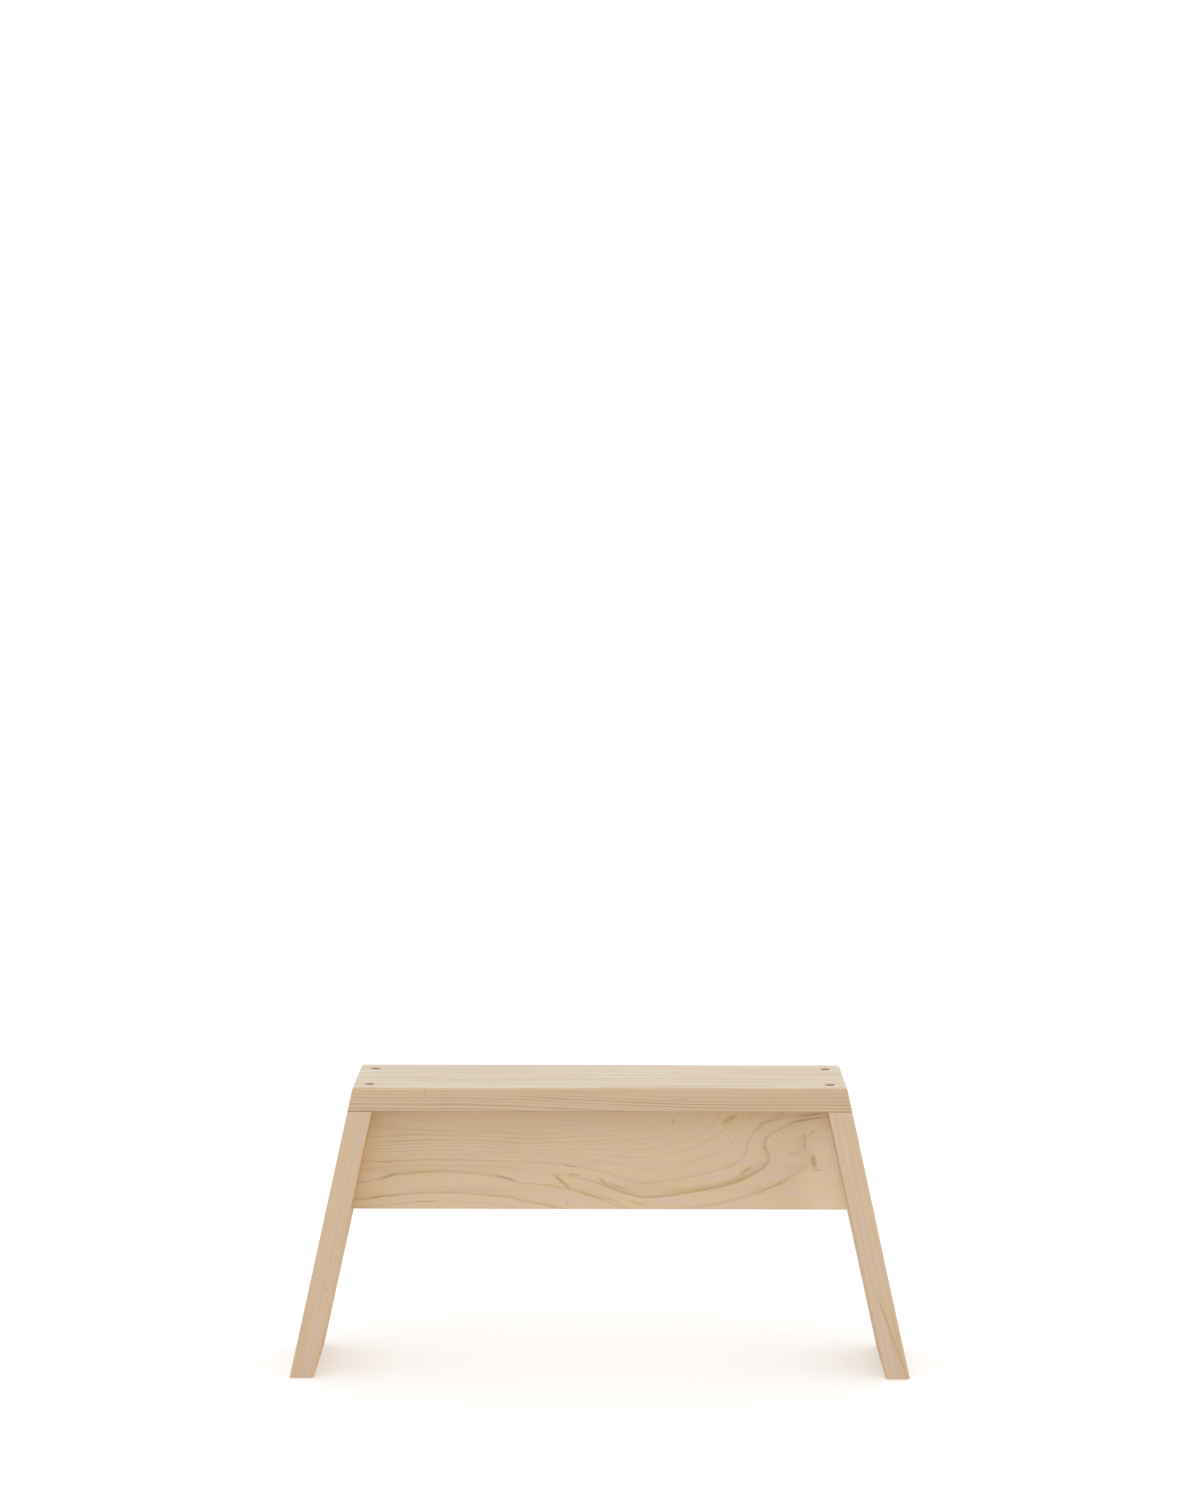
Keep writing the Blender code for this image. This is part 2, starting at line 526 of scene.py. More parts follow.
    @cached_property
    def mark(self) -> bpy.types.NodeTree:
        """A short ragged streak on one face, which fades into the wood below it."""
        wiring = GroupWiring("grain_mark")
        point = BoardPoint(wiring, wiring.take("Place", "Vector"))
        middle = wiring.take("Middle", "Vector")
        turn, jag, half_length, half_width = (wiring.take(name) for name in
                                              ("Turn", "Jag", "Half Length", "Half Width"))
        from_middle = wiring.vector_math("SUBTRACT", "Vector", point.place, middle)
        along, aside, depth = wiring.split(from_middle)
        cosine, sine = wiring.math("COSINE", turn), wiring.math("SINE", turn)
        run = along * cosine + aside * sine
        rise = aside * cosine - along * sine + point.swing(self.mark_waves) * jag * self.jag_reach
        ends = wiring.fade(abs(run) / half_length, *self.mark_ends)
        sides = wiring.fade(abs(rise) / half_width, *self.mark_sides)
        wiring.give("Mask", ends * sides * wiring.fade(abs(depth), *self.mark_skin))
        return wiring.tree

    @cached_property
    def end_grain(self) -> bpy.types.NodeTree:
        """Where a surface cuts across the fibres."""
        wiring = GroupWiring("end_grain")
        normal = wiring.out(wiring.node("NewGeometry"), "Normal")
        facing = wiring.vector_math("DOT_PRODUCT", "Value", normal, wiring.take("Along", "Vector"))
        wiring.give("Mask", wiring.ease(abs(facing), *self.end_facing))
        return wiring.tree

    @cached_property
    def handling(self) -> bpy.types.NodeTree:
        """Arrises that hands have rubbed, dark rims where boards meet and under the seat's edge, partly
        dirt and partly painted shade, and the walls of holes, which get painted light and shade.
        """
        wiring = GroupWiring("edge_wear")
        rubbed = BoardPoint(wiring, wiring.take("Place", "Vector")).noise(self.wear_waves)
        arris, seam, bore = (wiring.out(wiring.node("Attribute", attribute_name=name), "Fac")
                             for name in ("arris", "seam", "bore"))
        wiring.give("Wear", arris * wiring.ease(rubbed, *self.wear_range))
        wiring.give("Seam", seam)
        wiring.give("Bore", bore)
        return wiring.tree


@dataclass(frozen=True)
class BoardAxes:
    """Where a board's own directions start and how they point."""

    origin: Triple
    along: Triple
    across: Triple
    through: Triple

    def point(self, wiring: Wiring, kit: GrainKit) -> BoardPoint:
        """The point that is being shaded, in the board's directions."""
        placed = wiring.group(kit.place, Origin=self.origin, Along=self.along, Across=self.across,
                              Through=self.through)
        return BoardPoint(wiring, placed["Place"])


@dataclass(frozen=True)
class Grain:
    """What a board's rings look like on its surface.

    The tints are masks with the colours that they lay over the rings.
    """

    latewood: Signal
    line: Signal
    tints: tuple[tuple[Signal, Tone], ...] = ()


@dataclass(frozen=True)
class LogFigure:
    """Rings of a distant pith, whose lines run straight along the board. Millimetres."""

    pith: Span
    ring_width: float
    line_width: float = 0.8
    wander: float = 1.3
    wander_length: float = 150.0
    # How far the rings sink along the board, and where.
    sink: float = 0.0
    sink_over: Span = (-130.0, 90.0)
    # Where through the board sapwood sets in, if it does, and how much fainter its rings are.
    sapwood: Span | None = None
    sapwood_calm: float = 0.6
    # How much fainter the rings are on the two narrow edges, and where they start to fade.
    edge_calm: float = 0.0
    edge_fading: Span = (42.2, 44.2)
    # Straw-coloured streaks.
    straw_share: float = 0.0
    straw_waves: Waves = Waves(60.0, 9.0, 5.0)
    straw_patches: Span = (0.45, 0.75)
    # Painted warm light on the face away from where through is 0, which lies in shade.
    amber_share: float = 0.0
    amber_depths: Span = (16.5, 18.8)
    # A pale skin in streaks on the face where through is 0, with calmer rings under it: painted sheen.
    paled_share: float = 0.0
    paled_skin: Span = (-0.9, -0.1)
    paled_calm: float = 0.8
    paled_waves: Waves = Waves(180.0, 7.0, 1000.0, detail=4.0, roughness=0.65)
    paled_gain: float = 8.0
    paled_start: float = 3.3

    def rings(self, kit: GrainKit, point: BoardPoint) -> Grain:
        """Draws the rings.

        Args:
            kit: the shared node groups.
            point: the point in the board's directions.

        Returns:
            The rings' looks, fainter in the sapwood, on the edges and under the painted sheen.
        """
        wiring = point.wiring
        grown = wiring.group(kit.log_rings, Place=point.place, Pith_Across=self.pith[0],
                             Pith_Through=self.pith[1], Ring_Width=self.ring_width,
                             Wander=self.wander, Wander_Length=self.wander_length,
                             Sink=wiring.ease(point.along, *self.sink_over) * self.sink)
        strength = grown["Strength"]
        tints = []
        if self.straw_share:
            straw = wiring.ease(point.noise(self.straw_waves), *self.straw_patches)
            tints.append((straw * self.straw_share, Tone.STRAW))
        # Painted warm light on the inner face, where shade falls.
        if self.amber_share:
            warm_light = wiring.ease(-point.through, *self.amber_depths)
            tints.append((warm_light * self.amber_share, Tone.AMBER))
        if self.sapwood:
            strength *= 1.0 - wiring.ease(point.through, *self.sapwood) * self.sapwood_calm
        if self.edge_calm:
            strength *= 1.0 - wiring.ease(abs(point.across), *self.edge_fading) * self.edge_calm
        # Painted sheen: a pale, greyish skin in streaks on the top face, which also calms the rings there.
        if self.paled_share:
            skin = wiring.ease(point.through, *self.paled_skin)
            strength *= 1.0 - skin * self.paled_calm
            sheen_streaks = skin * (point.noise(self.paled_waves) * self.paled_gain - self.paled_start)
            tints.append((sheen_streaks * self.paled_share, Tone.PALED))
        drawn = wiring.group(kit.rings, Place=point.place, Offset=grown["Offset"],
                             Ring_Width=self.ring_width, Line_Width=self.line_width,
                             Strength=strength)
        return Grain(drawn["Latewood"], drawn["Line"], tuple(tints))


@dataclass(frozen=True)
class RingLine:
    """One ring of the apron, by its depth under the bowls' middle, in millimetres.

    Left and right are how strong its line is at the two ends of the board.
    """

    depth: float
    left: float
    right: float
    width: float = 1.6


@dataclass(frozen=True)
class BowlFigure:
    """Plain-sawn figure of the apron, in millimetres from the middle of its top edge.

    Lines run level over the left half and part below round a low arch. Over the right half they
    turn up into bowls.
    """

    ring_lines: tuple[RingLine, ...] = (
        RingLine(0.0, 0.0, 0.0), RingLine(7.0, 0.12, 0.12, 2.0), RingLine(12.5, 0.18, 0.22),
        RingLine(18.5, 0.22, 0.30), RingLine(24.5, 0.26, 0.25), RingLine(28.0, 0.32, 0.20),
        RingLine(32.0, 0.40, 0.28), RingLine(35.3, 0.34, 0.18), RingLine(40.2, 0.42, 0.30),
        RingLine(46.8, 0.46, 0.34), RingLine(56.5, 0.18, 0.25, 2.0), RingLine(68.0, 1.0, 0.48, 1.5),
        RingLine(79.5, 0.22, 0.85, 1.7), RingLine(92.0, 0.46, 0.45, 3.2),
        RingLine(111.0, 0.66, 0.55, 2.4), RingLine(118.0, 0.35, 0.30),
        RingLine(140.0, 0.30, 0.30, 2.5), RingLine(165.0, 0.30, 0.30, 2.5),
        RingLine(190.0, 0.30, 0.30, 2.5))
    widest_ring: float = 30.0
    widest_line: float = 5.0
    # Where along the board the left strengths give way to the right ones, and how bold the left end is.
    changeover: Span = (-55.0, 25.0)
    bold_end: Span = (105.0, 170.0)
    bold_share: float = 0.6
    # How far the figure sinks from the front face to the back one, for each millimetre.
    slant: float = 1.2
    # How lines sway, and the finer unrest in them.
    sway: float = 1.8
    sway_waves: Waves = Waves(46.0, 20.0, 20.0)
    unrest: float = 0.65
    unrest_waves: Waves = Waves(10.0, 5.0, 9.0, shift=40.0)
    # Bowls: where along the board they start, how softly, and how steeply they climb.
    bowl_start: float = 20.0
    bowl_softness: float = 17.0
    bowl_slope: float = 0.5
    # Parting: the depths over which lines draw apart, by how much, and where along the board that ends.
    parting_depths: Span = (32.0, 62.0)
    parting: float = 36.0
    parting_end: Span = (-70.0, 45.0)
    # Arch: its peak, its half width, and how much lines at three depths have dropped at that half width.
    arch_peak: float = -128.0
    arch_half: float = 50.0
    arch_limit: float = 1.6
    arch_end: Span = (-60.0, 10.0)
    arch_depths: Triple = (50.0, 66.0, 78.0)
    arch_drops: Triple = (1.2, 6.0, 3.7)
    # Corner: where the lines at the top left turn up, how steeply, and how deep that reaches.
    corner_start: float = -128.0
    corner_slope: float = 0.22
    corner_depths: Span = (8.0, 32.0)
    # Hump: a swelling of the grain at the right, where lines run upright and ragged.
    hump_depth: float = 29.0
    hump_half: float = 16.0
    hump_height: float = 15.0
    hump_rise: Span = (100.0, 138.0)
    hump_fall: Span = (155.0, 200.0)
    ragged: float = 1.0
    ragged_waves: Waves = Waves(7.0, 2.2, 9.0)
    # The golden band inside the boldest bowl: its depths, its reach along the board and its fainter start.
    golden_depths: Span = (74.0, 79.0)
    golden_edge: Span = (79.5, 80.5)
    golden_start: Span = (0.0, 14.0)
    golden_peak: Span = (50.0, 105.0)
    golden_end: Span = (116.0, 134.0)
    golden_least: float = 0.5
    golden_share: float = 0.48
    # Painted shade along the top, under the seat's overhang; painted warm light on the left end, where the
    # left leg shades it; and painted pale light on the right end, against the shade by the right leg.
    heart_depths: Span = (8.0, 30.0)
    heart_share: float = 0.40
    left_end: Span = (165.0, 196.0)
    left_share: float = 0.55
    left_fading: Span = (35.0, 95.0)
    right_end: Span = (150.0, 192.0)
    right_share: float = 0.9
    # Where the deepest rings fade out along the board.
    fade_start: Span = (70.0, 130.0)
    fade_depths: Span = (98.0, 102.0)
    fade_share: float = 0.7

    def arch(self, point: BoardPoint, down: Signal) -> Signal:
        """How far lines have dropped to either side of the arch's peak.

        Args:
            point: the point in the board's directions.
            down: the depth before the arch bends it.

        Returns:
            The drop.
        """
        wiring = point.wiring
        first, deepest, last = self.arch_depths
        low, high, end = self.arch_drops
        off_peak = (point.along - self.arch_peak) / self.arch_half
        spread = wiring.math("MINIMUM", off_peak * off_peak, self.arch_limit)
        gain = wiring.ease(down, first, deepest) * (high - low)
        loss = wiring.ease(down, deepest, last) * (high - end)
        return (gain - loss + low) * spread * wiring.fade(point.along, *self.arch_end)

    def corner(self, point: BoardPoint, down: Signal) -> Signal:
        """How far the lines at the top left have turned up."""
        past = point.wiring.math("MAXIMUM", self.corner_start - point.along, 0.0)
        return past * self.corner_slope * point.wiring.fade(down, *self.corner_depths)

    def hump(self, point: BoardPoint, down: Signal) -> Signal:
        """The swelling at the right, with its ragged fibres.

        Args:
            point: the point in the board's directions.
            down: the depth before the hump bends it.

        Returns:
            How much deeper the hump makes the point's ring.
        """
        wiring = point.wiring
        off_middle = (down - self.hump_depth) / self.hump_half
        swell = wiring.math("EXPONENT", -(off_middle * off_middle)) * self.hump_height
        swell = swell * wiring.fade(point.along, *self.hump_fall)
        torn = point.swing(self.ragged_waves) * self.ragged
        return wiring.ease(point.along, *self.hump_rise) * (swell + torn)

    def depth(self, point: BoardPoint) -> Signal:
        """The depth that a point's ring has under the bowls' middle.

        Args:
            point: the point in the board's directions.

        Returns:
            The depth in millimetres.
        """
        wiring = point.wiring
        down = (point.across + point.through * self.slant + point.swing(self.sway_waves) * self.sway
                + point.swing(self.unrest_waves) * self.unrest)
        down = down + self.corner(point, down) - self.arch(point, down)
        bend = point.along - self.bowl_start
        limb = (bend + wiring.root_of_squares(bend, self.bowl_softness)) * (self.bowl_slope / 2)
        level = wiring.fade(point.along, *self.parting_end)
        parted = wiring.ease(down, *self.parting_depths) * self.parting * level
        return wiring.root_of_squares(down, limb) + parted + self.hump(point, down)

    def count(self, wiring: Wiring, depth: Signal) -> Signal:
        """The running count of rings, which lie at uneven depths.

        Args:
            wiring: the material's tree.
            depth: the depth under the bowls' middle.

        Returns:
            The ring count.
        """
        curve = wiring.node("FloatCurve")
        last = len(self.ring_lines) - 1
        deepest = self.ring_lines[last].depth
        points = curve.mapping.curves[0].points
        for number, line in enumerate(self.ring_lines):
            spot = (line.depth / deepest, number / last)
            point = points[0] if number == 0 else points[1] if number == last else points.new(*spot)
            point.location = spot
            point.handle_type = "VECTOR"
        curve.mapping.update()
        wiring.feed(curve.inputs["Value"], depth / deepest)
        return wiring.out(curve) * float(last)

    @staticmethod
    def look_up(wiring: Wiring, number: Signal, rows: Sequence[Triple]) -> tuple[Signal, Signal, Signal]:
        """Reads one row of a table of shares.

        Args:
            wiring: the material's tree.
            number: which row.
            rows: the table, of numbers from 0 to 1.

        Returns:
            The row's three numbers.
        """
        table = wiring.node("ValToRGB")
        table.color_ramp.interpolation = "CONSTANT"
        steps = table.color_ramp.elements
        for i, row in enumerate(rows):
            step = steps[i] if i < len(steps) else steps.new(i / len(rows))
            step.position = i / len(rows)
            step.color = (*row, 1.0)
        middle_of_step = number + 0.5
        wiring.feed(table.inputs[0], middle_of_step / float(len(rows)))
        shares = wiring.node("SeparateColor")
        wiring.feed(shares.inputs[0], wiring.out(table))
        return wiring.out(shares, 0), wiring.out(shares, 1), wiring.out(shares, 2)

    def nearest_line(self, point: BoardPoint, depth: Signal) -> tuple[Signal, Signal, Signal, Signal]:
        """Looks up the ring line nearest to a depth.

        Args:
            point: the point in the board's directions.
            depth: the depth under the bowls' middle.

        Returns:
            The line's strength, the offset past it, the width of its ring and its own width.
        """
        wiring = point.wiring
        deepest = self.ring_lines[-1].depth
        inner = [0.0, *(line.depth for line in self.ring_lines)]
        sizes = [(line.depth / deepest, (line.depth - before) / self.widest_ring,
                  line.width / self.widest_line) for line, before in zip(self.ring_lines, inner)]
        strengths = [(line.left, line.right, 0.0) for line in self.ring_lines]
        nearest = wiring.math("ROUND", self.count(wiring, depth))
        line_depth, ring_width, line_width = self.look_up(wiring, nearest, sizes)
        left, right, _ = self.look_up(wiring, nearest, strengths)
        strength = left + (right - left) * wiring.ease(point.along, *self.changeover)
        strength *= wiring.ease(-point.along, *self.bold_end) * self.bold_share + 1.0
        return (strength, depth - line_depth * deepest, ring_width * self.widest_ring,
                line_width * self.widest_line)

    def rings(self, kit: GrainKit, point: BoardPoint) -> Grain:
        """Draws the rings.

        Args:
            kit: the shared node groups.
            point: the point in the board's directions.

        Returns:
            The rings' looks, with a golden band, painted shade along the top and painted light on both
            ends.
        """
        wiring, along, across = point.wiring, point.along, point.across
        depth = self.depth(point)
        strength, offset, width, line_width = self.nearest_line(point, depth)
        faded = wiring.ease(along, *self.fade_start) * wiring.ease(depth, *self.fade_depths)
        drawn = wiring.group(kit.rings, Place=point.place, Offset=offset, Ring_Width=width,
                             Line_Width=line_width, Strength=strength * (1.0 - faded * self.fade_share))
        band = wiring.ease(depth, *self.golden_depths) * wiring.fade(depth, *self.golden_edge)
        reach = wiring.ease(along, *self.golden_start) * wiring.fade(along, *self.golden_end)
        rich = wiring.ease(along, *self.golden_peak) * (1.0 - self.golden_least) + self.golden_least
        # Painted warm light on the left end, painted pale light on the right end, and painted shade along
        # the top under the seat.
        warm_light = wiring.ease(-along, *self.left_end) * wiring.fade(across, *self.left_fading)
        return Grain(drawn["Latewood"], drawn["Line"], (
            (warm_light * self.left_share, Tone.AMBER),
            (wiring.ease(along, *self.right_end) * self.right_share, Tone.SAPWOOD),
            (band * reach * rich * self.golden_share, Tone.RESIN),
            (wiring.fade(across, *self.heart_depths) * self.heart_share, Tone.HEART)))


@dataclass(frozen=True)
class GrainMark:
    """A streak of resin or torn fibre on one face.

    Millimetres of the board's directions, and degrees of turn.
    """

    along: float
    aside: float
    half_length: float
    half_width: float
    turn: float = 0.0
    tone: Tone = Tone.RESIN
    share: float = 0.5
    jag: float = 0.5
    face: MarkFace = MarkFace.WIDE

    def mask(self, kit: GrainKit, point: BoardPoint) -> Signal:
        """Where the mark shows.

        Args:
            kit: the shared node groups.
            point: the point in the board's directions.

        Returns:
            The mark's share at the point.
        """
        wiring, spot = point.wiring, point.place
        if self.face is MarkFace.FRONT_EDGE:
            depth = point.across + BOARD_WIDTH / 2 * MILLIMETRES
            spot = wiring.combine(point.along, point.through, depth)
        drawn = wiring.group(kit.mark, Place=spot, Middle=(self.along, self.aside, 0.0),
                             Turn=math.radians(self.turn), Jag=self.jag,
                             Half_Length=self.half_length, Half_Width=self.half_width)
        return drawn["Mask"] * self.share


def new_material(name: str) -> tuple[bpy.types.Material, Wiring, bpy.types.Node]:
    """A new material, with its tree's wiring and its shader."""
    made = bpy.data.materials.new(name)
    made.use_nodes = True
    return made, Wiring(made.node_tree), made.node_tree.nodes["Principled BSDF"]


@dataclass(frozen=True)
class WoodFinish:
    """Planed and sanded softwood on one board, without varnish."""

    name: str
    axes: BoardAxes
    figure: LogFigure | BowlFigure
    marks: tuple[GrainMark, ...] = ()
    latewood_share: float = 0.30
    line_share: float = 0.55
    streak_share: float = 0.12
    streak_length: float = 30.0
    streak_width: float = 0.7
    patch_share: float = 0.25
    # How far the earlywood swings between pinkish and yellowish, as shares of its blue and green.
    hue_swing: float = 0.07
    green_part: float = 0.125
    hue_waves: Waves = Waves(42.0, 9.0, 9.0, shift=71.0, detail=3.0)
    hue_range: Span = (0.3, 0.7)
    earlywood: Colour = (0.665, 0.505, 0.335)
    latewood: Colour = (0.440, 0.275, 0.140)
    # Resin gathers in some patches, and most of it in latewood.
    resin: Tint = Tint((0.560, 0.350, 0.150), 0.5)
    resin_patches: Span = (0.56, 0.82)
    resin_in_earlywood: float = 0.4
    tick: Tint = Tint((0.300, 0.185, 0.095), 0.35)
    cut_across: Tint = Tint((0.430, 0.280, 0.155), 0.35)
    worn: Tint = Tint((0.700, 0.550, 0.395), 0.12)
    # Dark rims where boards meet and under the seat's edge: partly dirt, partly painted shade.
    dusty: Tint = Tint((0.190, 0.105, 0.055), 0.85)
    # Pale walls of holes: partly fresh wood, partly painted light against the holes' shade.
    bored: Tint = Tint((0.920, 0.790, 0.610), 0.85)
    # Painted shade darkens the wall of a hole below these depths.
    burnt: Tint = Tint((0.380, 0.225, 0.130), 0.75)
    burnt_depths: Span = (-1.3, -0.8)
    specular: float = 0.4
    # How rough the wood is, and by how much that changes in patches, on lines and where it was cut.
    roughness: float = 0.36
    patch_roughness: float = 0.12
    line_polish: float = 0.08
    cut_roughness: float = 0.3
    # The real depth of the relief, how much of it shows, and what streaks, lines and ticks add to it.
    relief: float = 0.00012
    relief_strength: float = 0.6
    streak_relief: float = 0.8
    line_relief: float = 0.5
    tick_relief: float = 0.6

    def swung(self, way: float) -> Colour:
        """The earlywood at one end of its swing: pinkish for a way of 1, yellowish for -1."""
        red, green, blue = self.earlywood
        change = way * self.hue_swing
        return red, green * (1.0 - change * self.green_part), blue * (1.0 + change)

    def colour(self, kit: GrainKit, point: BoardPoint, grain: Grain, fibre: dict[str, Signal]) -> Signal:
        """The wood's own colour, before use has changed it.

        Args:
            kit: the shared node groups.
            point: the point in the board's directions.
            grain: the rings' looks.
            fibre: the fine streaks, patches and ticks.

        Returns:
            The colour.
        """
        wiring = point.wiring
        hue = wiring.ease(point.noise(self.hue_waves), *self.hue_range)
        earlywood = wiring.blend(hue, self.swung(1.0), self.swung(-1.0))
        rings = wiring.math("MAXIMUM", grain.latewood * self.latewood_share, grain.line * self.line_share)
        uneven = ((fibre["Streaks"] - NOISE_MEAN) * self.streak_share
                  + (fibre["Patches"] - NOISE_MEAN) * self.patch_share)
        made = wiring.blend(rings + uneven, earlywood, self.latewood)
        for mask, tone in grain.tints:
            made = wiring.blend(mask, made, tone.value)
        resinous = wiring.ease(fibre["Patches"], *self.resin_patches)
        made = wiring.lay(made, resinous * (grain.latewood + self.resin_in_earlywood), self.resin)
        made = wiring.lay(made, fibre["Ticks"], self.tick)
        for mark in self.marks:
            made = wiring.blend(mark.mask(kit, point), made, mark.tone.value)
        across_fibre = wiring.group(kit.end_grain, Along=self.axes.along)["Mask"]
        return wiring.lay(made, across_fibre, self.cut_across)

    def material(self, kit: GrainKit) -> bpy.types.Material:
        """Builds the board's material.

        Args:
            kit: the shared node groups.

        Returns:
            The material.
        """
        made, wiring, shader = new_material(self.name)
        point = self.axes.point(wiring, kit)
        grain = self.figure.rings(kit, point)
        fibre = wiring.group(kit.fibre, Place=point.place, Streak_Length=self.streak_length,
                             Streak_Width=self.streak_width)
        wear_and_shade = wiring.group(kit.handling, Place=point.place)
        bore, seam = wear_and_shade["Bore"], wear_and_shade["Seam"]
        deep_bore = bore * wiring.fade(point.through, *self.burnt_depths)

        colour = self.colour(kit, point, grain, fibre)
        # Rubbed arrises get real wear; joint rims a dark tint, partly dirt and partly painted shade; hole
        # walls a pale tint, partly fresh wood and partly painted light; deeper in the holes painted shade.
        for mask, tint in ((wear_and_shade["Wear"], self.worn), (seam, self.dusty), (bore, self.bored),
                           (deep_bore, self.burnt)):
            colour = wiring.lay(colour, mask, tint)
        wiring.feed(shader.inputs["Base Color"], colour)
        shader.inputs["Specular IOR Level"].default_value = self.specular

        patchy = (fibre["Patches"] - NOISE_MEAN) * self.patch_roughness
        rough = self.roughness + patchy - grain.line * self.line_polish
        wiring.feed(shader.inputs["Roughness"], rough + (bore + seam) * self.cut_roughness)
        height = (fibre["Streaks"] * self.streak_relief + grain.line * self.line_relief
                  - fibre["Ticks"] * self.tick_relief)
        wiring.emboss(shader, height, self.relief_strength, self.relief)
        return made


@dataclass(frozen=True)
class BronzedFinish:
    """Dark bronze plating on the screws, rubbed brighter where a driver has turned."""

    name: str = "bronzed_screw"
    dark: Colour = (0.300, 0.165, 0.095)
    bright: Colour = (0.500, 0.310, 0.180)
    metallic: float = 0.85
    # How many mottles and scratches there are to a metre, and which of the mottles are rubbed.
    mottle_scale: float = 900.0
    scratch_scales: Triple = (6000.0, 500.0, 2500.0)
    rubbed_range: Span = (0.45, 0.75)
    # How rough the plating is, and by how much scratches and rubbing change that.
    roughness: float = 0.42
    scratch_roughness: float = 0.3
    rubbed_polish: float = 0.1
    relief: float = 0.00004
    relief_strength: float = 0.4

    def material(self) -> bpy.types.Material:
        """Builds the screws' material.

        Returns:
            The material.
        """
        made, wiring, shader = new_material(self.name)
        point = wiring.out(wiring.node("TexCoord"), "Object")
        spread = wiring.vector_math("MULTIPLY", "Vector", point, (self.mottle_scale,) * 3)
        mottle = wiring.noise(spread, detail=3.0)
        drawn_out = wiring.vector_math("MULTIPLY", "Vector", point, self.scratch_scales)
        scratch = wiring.noise(drawn_out, detail=1.0)
        rubbed = wiring.ease(mottle, *self.rubbed_range)
        wiring.feed(shader.inputs["Base Color"], wiring.blend(rubbed, self.dark, self.bright))
        scratched = (scratch - NOISE_MEAN) * self.scratch_roughness
        wiring.feed(shader.inputs["Roughness"], self.roughness + scratched - rubbed * self.rubbed_polish)
        shader.inputs["Metallic"].default_value = self.metallic
        wiring.emboss(shader, scratch + mottle, self.relief_strength, self.relief)
        return made


def link(name: str, data: bpy.types.ID) -> bpy.types.Object:
    """Puts a mesh, lamp or camera into the scene as a named object."""
    made = bpy.data.objects.new(name, data)
    bpy.context.scene.collection.objects.link(made)
    return made


def as_mesh(bm: bmesh.types.BMesh, name: str) -> bpy.types.Mesh:
    """Turns a bmesh into a mesh with outward faces, and frees it."""
    bmesh.ops.recalc_face_normals(bm, faces=bm.faces)
    made = bpy.data.meshes.new(name)
    bm.to_mesh(made)
    bm.free()
    return made


def settle(piece: bpy.types.Object) -> None:
    """Turns a piece's modifiers into plain mesh."""
    bpy.context.view_layer.update()
    seen = piece.evaluated_get(bpy.context.evaluated_depsgraph_get())
    plain = bpy.data.meshes.new_from_object(seen)
    piece.modifiers.clear()
    spent, piece.data = piece.data, plain
    bpy.data.meshes.remove(spent)
    plain.name = piece.name


def subtract(piece: bpy.types.Object, cutters: Sequence[bpy.types.Object]) -> None:
    """Cuts shapes out of a piece for good, and takes the shapes out of the scene.

    Args:
        piece: the piece.
        cutters: the shapes.
    """
    for cutter in cutters:
        modifier = piece.modifiers.new(cutter.name, "BOOLEAN")
        modifier.operation = "DIFFERENCE"
        modifier.solver = "EXACT"
        modifier.object = cutter
    settle(piece)
    for cutter in cutters:
        mesh = cutter.data
        bpy.data.objects.remove(cutter, do_unlink=True)
        bpy.data.meshes.remove(mesh)


def smooth(piece: bpy.types.Object, crease: float) -> None:
    """Shades roundings smooth, keeps flats flat and leaves edges over the crease angle sharp."""
    piece.data.shade_smooth()
    piece.data.set_sharp_from_angle(angle=crease)
    weigh = piece.modifiers.new("flat_faces_lead", "WEIGHTED_NORMAL")
    weigh.keep_sharp = True
    settle(piece)


def attach(piece: bpy.types.Object, node: str) -> bpy.types.Object:
    """Makes a finished piece stand for its solid.

    Args:
        piece: the dressed piece.
        node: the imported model's node.

    Returns:
        The piece.
    """
    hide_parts(node)
    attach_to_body(piece, "root")
    return piece


def turned(name: str, rings: Sequence[Sequence[Triple]]) -> bpy.types.Mesh:
    """Skins rings of points, where a ring of one point closes an end.

    Args:
        name: the mesh's name.
        rings: points in order from one end to the other.

    Returns:
        The closed mesh.
    """
    bm = bmesh.new()
    loops = [[bm.verts.new(point) for point in ring] for ring in rings]
    for upper, lower in zip(loops, loops[1:]):
        count = max(len(upper), len(lower))
        for i in range(count):
            follow = (i + 1) % count
            corners = [upper[i % len(upper)], upper[follow % len(upper)],
                       lower[follow % len(lower)], lower[i % len(lower)]]
            bm.faces.new(dict.fromkeys(corners))
    return as_mesh(bm, name)


